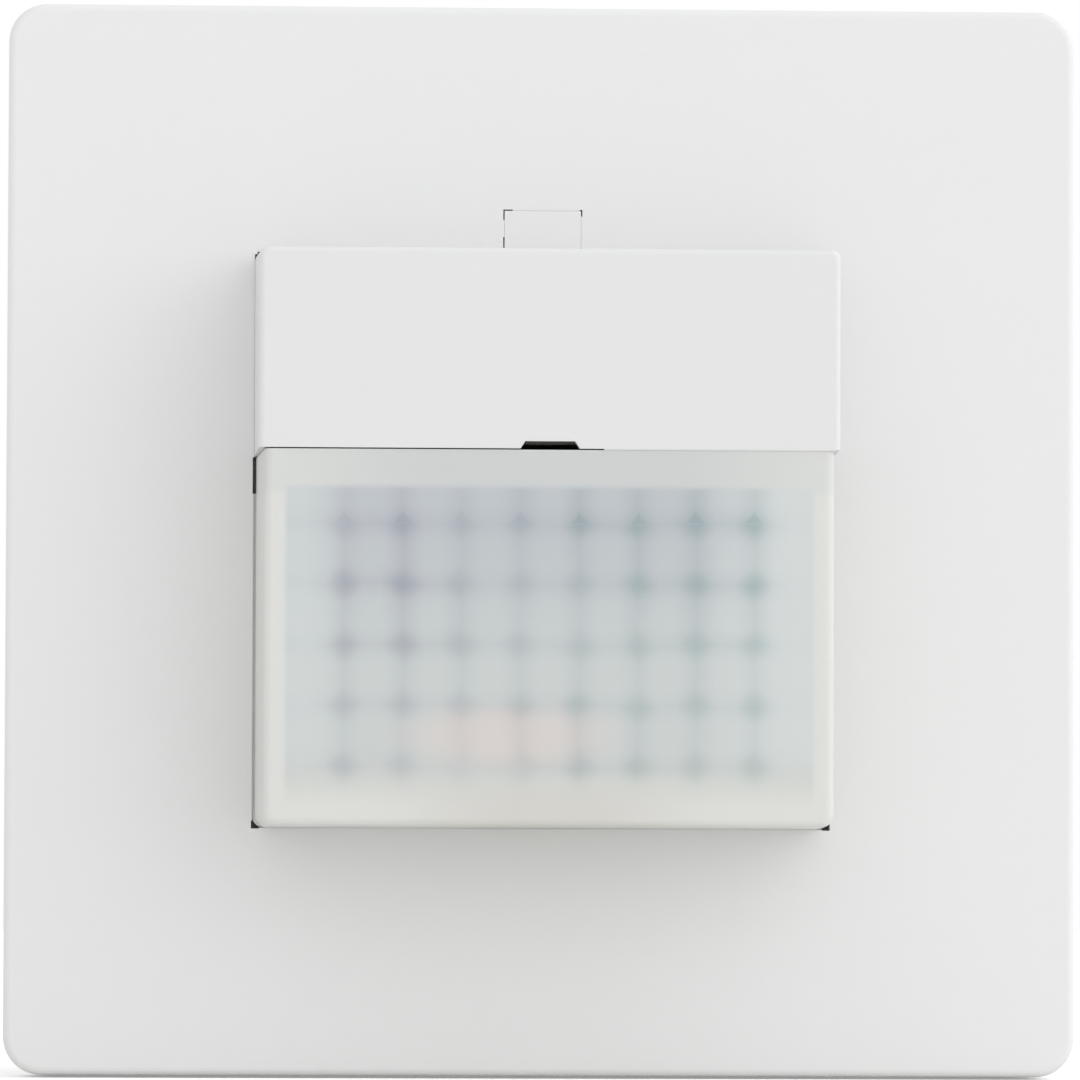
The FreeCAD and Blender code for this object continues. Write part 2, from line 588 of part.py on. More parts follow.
def dial(name, x):
    lip_front = "panel_back - part_gap"
    foot = f"{lip_front} - dial_lip"
    knob = joined([rod("dial_radius", x, "dial_z", foot, "panel_lift + dial_proud"),
                   rod("dial_radius + dial_lip", x, "dial_z", foot, lip_front),
                   rod("shaft_radius", x, "dial_z", "flange_back + pot_floor + screw_fit", foot)])
    groove = block(f"{x} - slot_width / 2", f"{x} + slot_width / 2", "panel_lift + dial_proud - slot_depth",
                   "panel_lift + dial_proud + slot_depth", "dial_z - dial_radius / 2",
                   "dial_z + dial_radius - slot_width / 2")
    cut(knob, [groove], f"{name}_dial")
    case = block(f"{x} - pot_size / 2", f"{x} + pot_size / 2", "flange_back", "pot_lift",
                 "dial_z - pot_size / 2", "dial_z + pot_size / 2")
    bore = rod("shaft_radius + running_gap", x, "dial_z", "flange_back + pot_floor", "pot_lift + part_gap")
    cut(case, [bore], f"{name}_potentiometer")


def screw(radius, x, z, seat, tip):
    """A pan-head screw square to the wall; its head lies on the side of the seat away from its tip."""
    turned = number(tip) > number(seat)
    low, high = (seat, tip) if turned else (tip, seat)
    top = f"{seat} {'-' if turned else '+'} {radius}"
    cap = rod(f"1.9 * {radius}", x, z, *((top, seat) if turned else (seat, top)))
    return joined([rod(radius, x, z, low, high), cap])


def pair(x, z):
    """Two places across from each other."""
    return [(x, z), (f"-{x}", f"-{z}")]


# Sensor board with everything that stands on it

def sensor_board():
    plate = block("-board_size / 2", "board_size / 2", "board_back", "flange_back", "-board_size / 2",
                  "board_size / 2")
    spots = pair("board_screw_place", "board_screw_place")
    cut(plate, [rod("board_screw_radius + screw_fit", x, z, "board_back - part_gap", "flange_back + part_gap")
                for x, z in spots], "sensor_board")
    group([screw("board_screw_radius", x, z, "board_back", "plate_back - tower_gap") for x, z in spots],
          "sensor_board_screws")
    holder = block("-holder_x", "holder_x", "flange_back", "flange_back + holder_height",
                   "pyro_z - holder_z", "pyro_z + holder_z")
    seats, filters = [], []
    for side, sign in (("left", "-"), ("right", "")):
        seat = rod("pyro_base + running_gap", "0", "0", "0", "2 * holder_height")
        seats.append(tilted(group([seat]), sign))
        can = joined([rod("pyro_base", "0", "0", "0", "pyro_flange"),
                      rod("pyro_radius", "0", "0", "pyro_flange", "pyro_height")])
        tilted(cut(can, [pyro_filter()], f"{side}_pyro_sensor"), sign)
        filters.append(tilted(group([pyro_filter()]), sign))
    cut(holder, seats, "sensor_holder")
    group(filters, "pyro_filters")
    for name, sign in (("light_sensor", ""), ("status_led", "-")):
        x = f"{sign}lamp_x"
        joined([rod("lamp_radius + lamp_rim", x, "lamp_z", "flange_back", "flange_back + 2 * lamp_rim"),
                rod("lamp_radius", x, "lamp_z", "flange_back", "flange_back + lamp_height")], name)


def pyro_filter():
    return block("-pyro_window / 2", "pyro_window / 2", "pyro_height - filter_thick", "pyro_height",
                 "-pyro_window / 2", "pyro_window / 2")


def tilted(thing, sign):
    """Stand a thing made on the origin in its seat, looking out to one side."""
    thing.Placement = Placement(Vector(), Rotation(ALONG_Z, 1))
    return bind(thing, Placement__Rotation__Angle=f"{sign}pyro_tilt", Placement__Base__x=f"{sign}pyro_x",
                Placement__Base__y="-pyro_seat", Placement__Base__z="pyro_z")


# Plug on the sensor board and socket on the power board

def plug_and_socket():
    places = [f"({i} - (pin_count - 1) / 2) * pin_pitch" for i in range(int(number("pin_count")))]
    half = "pin_count * pin_pitch / 2"

    def row(width, low, high):
        return [block(f"{x} - ({width}) / 2", f"{x} + ({width}) / 2", low, high, f"-({width}) / 2",
                      f"({width}) / 2") for x in places]

    header = block(f"-{half}", half, "board_back - plug_height", "board_back", "-plug_depth / 2",
                   "plug_depth / 2")
    cut(header, row("pin_width + 2 * screw_fit", "board_back - plug_height - part_gap", "board_back"),
        "plug_header")
    group(row("pin_width", "pin_tip", "board_back"), "plug_pins")
    housing = block(f"-{half}", half, "power_lift", "socket_lift", "-socket_depth / 2", "socket_depth / 2")
    cut(housing, row("pin_width + 2 * pin_gap", "socket_lift - socket_hole", "socket_lift + part_gap"),
        "socket_header")


# Leaf springs on the skirt that grip the ring's slots

def retaining_springs():
    leaf = doc.addObject("PartDesign::Body", "Leaf")
    side = sketch(leaf, "Side", "spring_x - spring_width / 2", "YZ_Plane")
    run = [("part_gap - flange_back", "0"), ("spring_tail / 5", "0"),
           ("spring_tail * 0.55", "spring_bulge"), ("spring_tail", "0")]
    polygon(side, [(y, f"skirt_half + {z}") for y, z in run]
            + [(y, f"skirt_half + {z} + spring_gauge") for y, z in reversed(run)])
    pad(leaf, side, "spring_width", "Strip")
    doc.recompute()
    across = mirrored(leaf, ALONG_X)
    group([leaf, across, mirrored(leaf, ALONG_Z), mirrored(across, ALONG_Z)], "retaining_springs")


# Mounting ring: flat steel with the box-screw slots, the insert's opening and bent lugs for the claws

def mounting_ring():
    ring = body("mounting_ring")
    pad(ring, square(sketch(ring, "Outline"), "ring_half"), "ring_gauge", "Sheet")
    fillet(ring, "ring_corner", lambda e: runs_in(e, ALONG_Y), "Corners")
    lugs = sketch(ring, "Lugs")
    for left, right in (("-knuckle_x - 1.5 * knuckle_radius", "-knuckle_x + knuckle_radius"),
                        ("knuckle_x - knuckle_radius", "knuckle_x + 1.5 * knuckle_radius")):
        rectangle(lugs, left, "lug_z", right, "lug_z + lug_thick")
        rectangle(lugs, left, "-lug_z - lug_thick", right, "-lug_z")
    pad(ring, lugs, "knuckle_drop + 1.6 * knuckle_radius", "ClawLugs", towards_wall=True)
    opening = sketch(ring, "Opening")
    box_outline(opening, "insert_half_x + ring_gap", "insert_half_z + ring_gap", "insert_round + ring_gap")
    pocket(ring, opening, "ring_gauge", "InsertOpening")
    holes = sketch(ring, "Holes")
    for sign in ("", "-"):
        slot(holes, "0", f"{sign}box_screw_spacing / 2", "box_slot_width", "box_slot_length")
        circle(holes, f"{sign}claw_screw_x", "0", "claw_screw_radius + ring_gap")
    for x, z in pair("ring_screw_x", "ring_screw_z"):
        circle(holes, x, z, "ring_screw_radius + screw_fit")
    reach = "spring_x + spring_width / 2 + part_gap"
    near = "spring_x - spring_width / 2 - part_gap"
    low, high = "skirt_half - part_gap", "skirt_half + spring_bulge + spring_gauge + part_gap"
    for left, right in ((f"-({reach})", f"-({near})"), (near, reach)):
        rectangle(holes, left, low, right, high)
        rectangle(holes, left, f"-({high})", right, f"-({low})")
    pocket(ring, holes, "ring_gauge", "Holes")
    pivots = sketch(ring, "Pivots", plane="XY_Plane")
    for sign in ("", "-"):
        circle(pivots, f"{sign}knuckle_x", "knuckle_drop", "knuckle_radius + running_gap")
    cross_pocket(ring, pivots, "4 * lug_z", "PivotHoles")
    group([screw("ring_screw_radius", x, z, "insert_lift", "-ring_gauge")
           for x, z in pair("ring_screw_x", "ring_screw_z")], "ring_screws")


# Insert housing in the wall box, with the power board, and its rear cover

TERMINALS = ("-terminal_pitch", "0", "terminal_pitch")


def insert_housing():
    housing = body("insert_housing")
    size = ("insert_half_x", "insert_half_z", "insert_round")
    inner = [f"{half} - insert_wall" for half in size]
    pad(housing, box_outline(sketch(housing, "Outline", "insert_back"), *size),
        "insert_depth + insert_lift", "Block")
    lip = sketch(housing, "Lip", "ring_gauge")
    pad(housing, box_outline(lip, *(f"{half} + insert_lip" for half in size)), "insert_front", "Lip")
    ears, holes = sketch(housing, "Ears", "ring_gauge"), sketch(housing, "EarHoles", "ring_gauge")
    for x, z in pair("ring_screw_x", "ring_screw_z"):
        circle(ears, x, z, "ear_radius")
        circle(holes, x, z, "ring_screw_radius + screw_fit")
    pad(housing, ears, "insert_front", "Ears")
    pocket(housing, holes, "insert_front", "EarHoles")
    pocket(housing, box_outline(sketch(housing, "Hollow", "insert_back"), *inner),
           "insert_depth + insert_lift - insert_wall", "Inside")
    window = sketch(housing, "SocketWindow", "insert_lift - insert_wall")
    square(window, "pin_count * pin_pitch / 2 + part_gap", "socket_depth / 2 + part_gap")
    pocket(housing, window, "insert_wall", "SocketWindow")
    posts = sketch(housing, "Posts", "power_lift")
    for sx in ("", "-"):
        for sz in ("", "-"):
            square_at(posts, f"{sx}post_x", f"{sz}post_z", "post_half")
    pad(housing, posts, "board_drop + insert_lift - insert_wall", "Posts")

    board = body("power_board")
    outline = sketch(board, "Outline", "power_back")
    pad(board, box_outline(outline, *(f"{half} - board_inset" for half in inner)), "board_thick", "Plate")

    cover = body("rear_cover")
    pad(cover, box_outline(sketch(cover, "Outline", "cover_back"), *size), "cover_depth", "Cup")
    spigot = sketch(cover, "Spigot", "insert_back")
    box_outline(spigot, *(f"{half} - running_gap" for half in inner))
    pad(cover, spigot, "spigot_length", "Spigot")
    pocket(cover, box_outline(sketch(cover, "Hollow", "cover_back + cover_wall"),
                              *(f"{half} - cover_wall" for half in inner)),
           "cover_depth - cover_wall + spigot_length", "Inside")
    wires = sketch(cover, "Wires", "cover_back")
    drivers = sketch(cover, "Drivers", "terminal_z", "XY_Plane")
    for x in TERMINALS:
        circle(wires, x, "terminal_z", "wire_hole")
        circle(drivers, x, "-(clamp_back + clamp_front) / 2", "driver_hole")
    pocket(cover, wires, "cover_wall", "WireHoles")
    pocket(cover, drivers, "insert_half_z", "DriverHoles", towards_room=True)


# Terminals: brass cages with a tail to the power board, each with its own screw

def terminals():
    cages = []
    bore = "terminal_screw_radius + screw_fit"
    middle = "(clamp_back + clamp_front) / 2"
    for place, x in enumerate(TERMINALS, start=1):
        left, right = f"{x} - clamp_width / 2", f"{x} + clamp_width / 2"
        cage = block(left, right, "clamp_back", "clamp_front", "terminal_z - clamp_half - clamp_wall",
                     "clamp_top")
        tail = block(f"{x} - clamp_tail / 2", f"{x} + clamp_tail / 2", "clamp_front", "power_back",
                     "terminal_z - clamp_tail / 2", "terminal_z + clamp_tail / 2")
        chamber = block(f"{left} + clamp_wall", f"{right} - clamp_wall", "clamp_back - part_gap",
                        "clamp_front - clamp_wall", "terminal_z - clamp_half", "terminal_z + clamp_half")
        thread = upright(bore, x, middle, "terminal_z", "clamp_top + part_gap")
        cages.append(cut(joined([cage, tail]), [chamber, thread]))
        shank = upright("terminal_screw_radius", x, middle, "terminal_z + clamp_wall", "clamp_top")
        head = upright("terminal_head", x, middle, "clamp_top", "clamp_top + terminal_head_height")
        groove = block(f"{x} - terminal_head - part_gap", f"{x} + terminal_head + part_gap",
                       f"{middle} - part_gap", f"{middle} + part_gap",
                       "clamp_top + terminal_head_height / 2", "clamp_top + 2 * terminal_head_height")
        cut(joined([shank, head]), [groove], f"terminal_screw_{place}")
    group(cages, "terminal_clamps")


# Parts on the power board's rear, each resting on the board

def power_parts():
    for label, part in (("relay", "relay"), ("mains_capacitor", "film")):
        left, low = f"{part}_x - {part}_width / 2", f"{part}_z - {part}_height / 2"
        named(block(left, f"{left} + {part}_width", f"power_back - {part}_depth", "power_back", low,
                    f"{low} + {part}_height"), label)
    for label, part in (("smoothing_capacitor", "can"), ("choke", "choke")):
        can = rod(f"{part}_radius", f"{part}_x", f"{part}_z", f"power_back - {part}_depth", "power_back")
        named(can, label)
    for label, part, length in (("varistor", "disc", "disc_thick"), ("fuse", "fuse", "fuse_length")):
        named(upright(f"{part}_radius", f"{part}_x", f"power_back - {part}_radius",
                      f"{part}_z - {length} / 2", f"{part}_z + {length} / 2"), label)


# Spreading claws on the ring's lugs, each with its screw

def claws():
    inner, outer = "knuckle_x - 0.8 * knuckle_radius", "knuckle_x - 0.8 * knuckle_radius + claw_gauge"
    low, high = "-knuckle_drop - claw_gauge / 2", "-knuckle_drop + claw_gauge / 2"
    foot = "-knuckle_drop - claw_leg"
    blank = joined([block("knuckle_x", "claw_reach", low, high, "-claw_half", "claw_half"),
                    block(inner, outer, foot, "-knuckle_drop", "-claw_half", "claw_half"),
                    block(inner, "claw_tooth", foot, f"{foot} + claw_gauge", "-claw_half", "claw_half"),
                    upright("knuckle_radius", "knuckle_x", "-knuckle_drop", "-lug_z - lug_thick - screw_fit",
                            "lug_z + lug_thick + screw_fit")])
    fork = block("knuckle_x + 1.1 * knuckle_radius", "claw_reach + part_gap", f"{low} - part_gap",
                 f"{high} + part_gap", "-claw_slot / 2", "claw_slot / 2")
    slit = block(f"{inner} - part_gap", f"{outer} + part_gap", f"{foot} + claw_web",
                 "-knuckle_drop - 1.5 * knuckle_radius", "-claw_slot / 2", "claw_slot / 2")
    gaps = [block("claw_tooth - claw_gauge", "claw_tooth + part_gap", f"{foot} - part_gap",
                  f"{foot} + claw_gauge + part_gap", f"{z} - claw_gauge / 2", f"{z} + claw_gauge / 2")
            for z in ("-claw_half / 2", "0", "claw_half / 2")]
    claw = cut(blank, [fork, slit, *gaps], "right_claw")
    named(mirrored(claw, ALONG_X), "left_claw")
    for side, sign in (("left", "-"), ("right", "")):
        x, top = f"{sign}claw_screw_x", "ring_gauge + claw_head_height"
        shank = rod("claw_screw_radius", x, "0", "ring_gauge - claw_screw_length", "ring_gauge")
        head = rod("claw_head", x, "0", "ring_gauge", top)
        groove = block(f"{x} - claw_head - part_gap", f"{x} + claw_head + part_gap", f"{top} - slot_depth",
                       f"{top} + slot_depth", "-slot_width / 2", "slot_width / 2")
        cut(joined([shank, head]), [groove], f"{side}_claw_screw")


cover_plate()
hood_cap()
lens_window()
head_chassis()
release_tab()
dial("time", "-dial_x")
dial("lux", "dial_x")
sensor_board()
plug_and_socket()
retaining_springs()
mounting_ring()
insert_housing()
terminals()
power_parts()
claws()



# Checks before anything is written

doc.recompute()
for thing in doc.Objects:
    if {"Invalid", "Error"} & set(thing.State):
        raise RuntimeError(f"{thing.Label} could not be made: {thing.State}")
for label, piece in pieces.items():
    if piece.Shape.isNull() or not piece.Shape.isValid() or not piece.Shape.Solids:
        raise RuntimeError(f"{label} is not a sound solid")

os.makedirs("parts", exist_ok=True)
for label, piece in pieces.items():
    piece.Shape.exportStep(f"parts/{label}.step")
    print(label, len(piece.Shape.Solids), round(piece.Shape.Volume, 2))
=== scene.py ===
import bpy, bmesh, math
from mathutils import Matrix, Vector


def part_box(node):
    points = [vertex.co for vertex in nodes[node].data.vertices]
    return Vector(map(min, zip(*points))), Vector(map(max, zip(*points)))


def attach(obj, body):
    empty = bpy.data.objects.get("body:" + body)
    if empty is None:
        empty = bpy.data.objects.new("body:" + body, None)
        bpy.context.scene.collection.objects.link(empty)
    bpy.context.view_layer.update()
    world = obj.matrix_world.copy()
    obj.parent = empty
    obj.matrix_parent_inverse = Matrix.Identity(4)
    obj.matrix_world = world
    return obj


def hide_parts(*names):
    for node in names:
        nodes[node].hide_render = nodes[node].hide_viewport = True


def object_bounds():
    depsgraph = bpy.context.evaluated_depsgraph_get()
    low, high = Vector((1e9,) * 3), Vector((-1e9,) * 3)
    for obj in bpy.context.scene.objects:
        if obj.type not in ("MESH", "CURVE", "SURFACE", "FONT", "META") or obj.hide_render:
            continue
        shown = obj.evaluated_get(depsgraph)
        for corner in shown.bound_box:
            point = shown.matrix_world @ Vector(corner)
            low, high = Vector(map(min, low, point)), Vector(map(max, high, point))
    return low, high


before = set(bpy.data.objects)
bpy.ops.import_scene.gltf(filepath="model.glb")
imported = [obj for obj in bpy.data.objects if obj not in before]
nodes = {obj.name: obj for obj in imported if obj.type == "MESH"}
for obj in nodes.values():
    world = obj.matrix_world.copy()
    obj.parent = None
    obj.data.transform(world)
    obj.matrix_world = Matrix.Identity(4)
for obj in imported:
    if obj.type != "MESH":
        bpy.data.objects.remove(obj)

# Infrared motion sensor: the CAD solids get their finishes here, and small details are added to them
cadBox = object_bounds()
mm = 0.001


def linear(red, green, blue):
    # a colour as a picture editor shows it, 0 to 255, turned into scene light
    return tuple((c / 12.92 if c <= 0.04045 else ((c + 0.055) / 1.055) ** 2.4)
                 for c in (red / 255, green / 255, blue / 255)) + (1.0,)


# camera, light and floor

cameraSetup = {
    "place": (-27.93 * mm, -601.3 * mm, -27.51 * mm),   # a little left of and below the plate's middle
    "turn": (math.pi / 2 + 0.0465, -0.0034, -0.0471),
    "focal": 260.66, "shiftX": 0.0005, "shiftY": 0.0,
}


def setCamera():
    camera = bpy.data.cameras.new("photoCamera")
    camera.lens, camera.sensor_width = cameraSetup["focal"], 36
    camera.shift_x, camera.shift_y = cameraSetup["shiftX"], cameraSetup["shiftY"]
    camera.clip_start, camera.clip_end = 0.01, 10
    holder = bpy.data.objects.new("photoCamera", camera)
    holder.location, holder.rotation_euler = cameraSetup["place"], cameraSetup["turn"]
    bpy.context.scene.collection.objects.link(holder)
    bpy.context.scene.camera = holder
    bpy.context.scene.view_settings.view_transform = "Standard"


lightSetup = {
    "skyLevel": 0.762, "skyRight": 1.0, "skyFront": 0.32, "skyColour": (0.98, 0.99, 1.0, 1.0),
    "keyPlace": (0.32, -0.5, 0.22), "keySize": 0.28, "keyPower": 0.045,
    "floorColour": (240, 240, 238), "floorLift": 0.3, "floorHalf": 3.0, "floorBelow": 0.0002,
    "floorSpecks": 40, "speckShare": 0.04, "speckColour": (0.8, 0.8, 0.8, 1), "floorRoughness": 0.9,
}


def shaderNode(tree, kind, **values):
    made = tree.nodes.new(kind)
    for name, value in values.items():
        setattr(made, name, value)
    return made


def plug(tree, source, target):
    # a number or colour is written on the socket, another socket is linked to it
    if isinstance(source, bpy.types.NodeSocket):
        tree.links.new(source, target)
    else:
        target.default_value = source


def calc(tree, operation, *values, clamp=False):
    made = shaderNode(tree, "ShaderNodeMath", operation=operation, use_clamp=clamp)
    for value, socket in zip(values, made.inputs):
        plug(tree, value, socket)
    return made.outputs[0]


def ramp(tree, value, low, high, toLow=0.0, toHigh=1.0, smooth=True):
    made = shaderNode(tree, "ShaderNodeMapRange", interpolation_type="SMOOTHSTEP" if smooth else "LINEAR")
    for source, socket in zip((value, low, high, toLow, toHigh), made.inputs):
        plug(tree, source, socket)
    return made.outputs[0]


def blendColours(tree, amount, first, second, mode="MIX"):
    made = shaderNode(tree, "ShaderNodeMix", data_type="RGBA", blend_type=mode)
    plug(tree, amount, made.inputs[0])
    plug(tree, first, made.inputs[6])
    plug(tree, second, made.inputs[7])
    return made.outputs[2]


def setLight():
    setup = lightSetup
    world = bpy.data.worlds.new("studio")
    bpy.context.scene.world = world
    world.use_nodes = True
    tree = world.node_tree
    tree.nodes.clear()
    out = shaderNode(tree, "ShaderNodeOutputWorld")
    path = shaderNode(tree, "ShaderNodeLightPath")
    seen = calc(tree, "MAXIMUM", path.outputs["Is Camera Ray"], path.outputs["Is Glossy Ray"])
    seen = calc(tree, "MAXIMUM", seen, path.outputs["Is Transmission Ray"])
    glow = shaderNode(tree, "ShaderNodeBackground")
    glow.inputs[0].default_value = setup["skyColour"]
    # the sky is brighter towards the right and the viewer
    way = shaderNode(tree, "ShaderNodeSeparateXYZ")
    plug(tree, shaderNode(tree, "ShaderNodeTexCoord").outputs["Generated"], way.inputs[0])
    level = setup["skyLevel"]
    for axis, sign, share in ((0, 1.0, "skyRight"), (1, -1.0, "skyFront")):
        towards = calc(tree, "MAXIMUM", calc(tree, "MULTIPLY", way.outputs[axis], sign), 0.0)
        level = calc(tree, "ADD", calc(tree, "MULTIPLY", towards, setup[share]), level)
    plug(tree, level, glow.inputs[1])
    white = shaderNode(tree, "ShaderNodeBackground")
    white.inputs[0].default_value = (1, 1, 1, 1)
    white.inputs[1].default_value = 1.0
    mix = shaderNode(tree, "ShaderNodeMixShader")
    plug(tree, seen, mix.inputs[0])
    plug(tree, glow.outputs[0], mix.inputs[1])
    plug(tree, white.outputs[0], mix.inputs[2])
    plug(tree, mix.outputs[0], out.inputs[0])
    key = bpy.data.lights.new("keyLight", "AREA")
    key.shape, key.size, key.energy = "SQUARE", setup["keySize"], setup["keyPower"]
    lamp = bpy.data.objects.new("keyLight", key)
    lamp.location = setup["keyPlace"]
    lamp.rotation_euler = (-Vector(setup["keyPlace"])).to_track_quat("-Z", "Y").to_euler()
    bpy.context.scene.collection.objects.link(lamp)


def makeFloor():
    mesh = bpy.data.meshes.new("floor")
    half, low = lightSetup["floorHalf"], cadBox[0].z - lightSetup["floorBelow"]
    corners = [(-half, -half, low), (half, -half, low), (half, half, low), (-half, half, low)]
    mesh.from_pydata(corners, [], [(0, 1, 2, 3)])
    floor = bpy.data.objects.new("floor", mesh)
    bpy.context.scene.collection.objects.link(floor)
    material = bpy.data.materials.new("paleFloor")
    material.use_nodes = True
    tree = material.node_tree
    shader = tree.nodes["Principled BSDF"]
    place = shaderNode(tree, "ShaderNodeTexCoord")
    speck = shaderNode(tree, "ShaderNodeTexNoise")
    speck.inputs["Scale"].default_value = lightSetup["floorSpecks"]
    plug(tree, place.outputs["Object"], speck.inputs["Vector"])
    base = linear(*lightSetup["floorColour"])
    amount = calc(tree, "MULTIPLY", speck.outputs[0], lightSetup["speckShare"])
    plug(tree, blendColours(tree, amount, base, lightSetup["speckColour"]), shader.inputs["Base Color"])
    shader.inputs["Roughness"].default_value = lightSetup["floorRoughness"]
    # seen directly the floor is lifted to the white of the background, and keeps its shadow
    shader.inputs["Emission Color"].default_value = (1, 1, 1, 1)
    seen = shaderNode(tree, "ShaderNodeLightPath").outputs["Is Camera Ray"]
    plug(tree, calc(tree, "MULTIPLY", seen, lightSetup["floorLift"]), shader.inputs["Emission Strength"])
    mesh.materials.append(material)


setCamera()
setLight()
makeFloor()
print("camera, light and floor are set")


# finishes

def shaderGroup(name, inputs, outputs):
    group = bpy.data.node_groups.new(name, "ShaderNodeTree")
    for label, kind, value in inputs:
        socket = group.interface.new_socket(label, in_out="INPUT", socket_type=kind)
        socket.default_value = value
    for label, kind in outputs:
        group.interface.new_socket(label, in_out="OUTPUT", socket_type=kind)
    return group, group.nodes.new("NodeGroupInput"), group.nodes.new("NodeGroupOutput")


grainShape = {"flow": 55, "flowDetail": 3, "flowRoughness": 0.16, "dark": (0.25, 0.24, 0.22, 1)}
platingShape = {"clouds": 160, "cloudDetail": 4, "cloudEdge": (0.35, 0.7), "cloudRoughness": 0.2,
                "lines": (60, 900, 2600), "lineRoughness": 0.12}


def mouldedGrain():
    # the fine spark-eroded grain and faint flow marks of a moulding
    tree, source, out = shaderGroup("mouldedGrain", [
        ("Colour", "NodeSocketColor", (0.8, 0.8, 0.8, 1)), ("Grain per metre", "NodeSocketFloat", 3500.0),
        ("Mottle", "NodeSocketFloat", 0.02), ("Roughness", "NodeSocketFloat", 0.4)],
        [("Colour", "NodeSocketColor"), ("Roughness", "NodeSocketFloat"), ("Height", "NodeSocketFloat")])
    place = shaderNode(tree, "ShaderNodeTexCoord").outputs["Object"]
    fine = shaderNode(tree, "ShaderNodeTexVoronoi", feature="SMOOTH_F1")
    plug(tree, place, fine.inputs["Vector"])
    plug(tree, source.outputs["Grain per metre"], fine.inputs["Scale"])
    broad = shaderNode(tree, "ShaderNodeTexNoise")
    plug(tree, place, broad.inputs["Vector"])
    broad.inputs["Scale"].default_value = grainShape["flow"]
    broad.inputs["Detail"].default_value = grainShape["flowDetail"]
    swing = calc(tree, "SUBTRACT", broad.outputs[0], 0.5)
    darker = calc(tree, "MULTIPLY", calc(tree, "ADD", swing, 0.5), source.outputs["Mottle"])
    colour = blendColours(tree, darker, source.outputs["Colour"], grainShape["dark"])
    plug(tree, colour, out.inputs["Colour"])
    rough = calc(tree, "MULTIPLY", swing, grainShape["flowRoughness"])
    plug(tree, calc(tree, "ADD", source.outputs["Roughness"], rough), out.inputs["Roughness"])
    plug(tree, fine.outputs["Distance"], out.inputs["Height"])
    return tree


def platedMetal():
    # zinc or nickel plating: cloudy patches and fine drawn lines
    tree, source, out = shaderGroup("platedMetal", [
        ("Colour", "NodeSocketColor", (0.6, 0.6, 0.6, 1)), ("Stain", "NodeSocketColor", (0.4, 0.4, 0.38, 1)),
        ("Cloud", "NodeSocketFloat", 0.3), ("Roughness", "NodeSocketFloat", 0.35)],
        [("Colour", "NodeSocketColor"), ("Roughness", "NodeSocketFloat"), ("Height", "NodeSocketFloat")])
    place = shaderNode(tree, "ShaderNodeTexCoord").outputs["Object"]
    cloud = shaderNode(tree, "ShaderNodeTexNoise")
    plug(tree, place, cloud.inputs["Vector"])
    cloud.inputs["Scale"].default_value = platingShape["clouds"]
    cloud.inputs["Detail"].default_value = platingShape["cloudDetail"]
    turned = shaderNode(tree, "ShaderNodeMapping")
    turned.inputs["Scale"].default_value = platingShape["lines"]
    plug(tree, place, turned.inputs["Vector"])
    lines = shaderNode(tree, "ShaderNodeTexNoise")
    plug(tree, turned.outputs[0], lines.inputs["Vector"])
    lines.inputs["Scale"].default_value = 1
    amount = calc(tree, "MULTIPLY", ramp(tree, cloud.outputs[0], *platingShape["cloudEdge"]),
                  source.outputs["Cloud"])
    colour = blendColours(tree, amount, source.outputs["Colour"], source.outputs["Stain"])
    plug(tree, colour, out.inputs["Colour"])
    rough = source.outputs["Roughness"]
    for made, share in ((cloud, "cloudRoughness"), (lines, "lineRoughness")):
        rough = calc(tree, "ADD", rough, calc(tree, "MULTIPLY", made.outputs[0], platingShape[share]))
    plug(tree, rough, out.inputs["Roughness"])
    plug(tree, lines.outputs[0], out.inputs["Height"])
    return tree


grainGroup, platingGroup = mouldedGrain(), platedMetal()


def startMaterial(name):
    material = bpy.data.materials.new(name)
    material.use_nodes = True
    tree = material.node_tree
    return material, tree, tree.nodes["Principled BSDF"]


def placeGroup(tree, group, **values):
    made = shaderNode(tree, "ShaderNodeGroup", node_tree=group)
    for name, value in values.items():
        made.inputs[name.replace("_", " ")].default_value = value
    return made


def bumpFrom(tree, shader, height, depth):
    bump = shaderNode(tree, "ShaderNodeBump")
    bump.inputs["Strength"].default_value = 1.0
    bump.inputs["Distance"].default_value = depth
    plug(tree, height, bump.inputs["Height"])
    plug(tree, bump.outputs[0], shader.inputs["Normal"])


plasticFinish = {   # colour, roughness, grains per metre, grain depth in mm, mottle
    "coverWhite": ((230, 230, 229), 0.42, 3200, 0.004, 0.015),
    "hoodWhite": ((225, 225, 224), 0.42, 3200, 0.004, 0.015),
    "chassisGrey": ((206, 206, 202), 0.5, 2400, 0.006, 0.04),
    "dialGrey": ((92, 95, 100), 0.45, 2600, 0.006, 0.05),
    "insertGrey": ((118, 121, 124), 0.55, 1800, 0.010, 0.10),
    "backGrey": ((106, 109, 113), 0.6, 1500, 0.012, 0.12),
    "connectorBlack": ((26, 26, 28), 0.45, 2600, 0.006, 0.03),
    "relayBlue": ((52, 92, 140), 0.28, 3000, 0.002, 0.05),
    "filmYellow": ((214, 170, 60), 0.25, 900, 0.010, 0.08),
    "sleeveBlue": ((40, 52, 88), 0.22, 700, 0.004, 0.05),
    "discBlue": ((46, 98, 150), 0.3, 700, 0.02, 0.12),
    "fuseCeramic": ((226, 222, 210), 0.3, 1500, 0.004, 0.05),
    "ferrite": ((44, 42, 42), 0.6, 2200, 0.02, 0.15),
}
metalFinish = {     # colour, stain, cloud, roughness, line depth in mm
    "zincPlate": ((196, 197, 198), (164, 163, 158), 0.3, 0.2, 0.003),
    "springStrip": ((170, 172, 176), (120, 116, 108), 0.35, 0.16, 0.002),
    "screwZinc": ((186, 187, 188), (140, 136, 122), 0.35, 0.2, 0.002),
    "terminalBrass": ((206, 172, 96), (150, 112, 60), 0.4, 0.2, 0.002),
    "nickelCan": ((200, 196, 188), (160, 154, 142), 0.3, 0.12, 0.001),
}


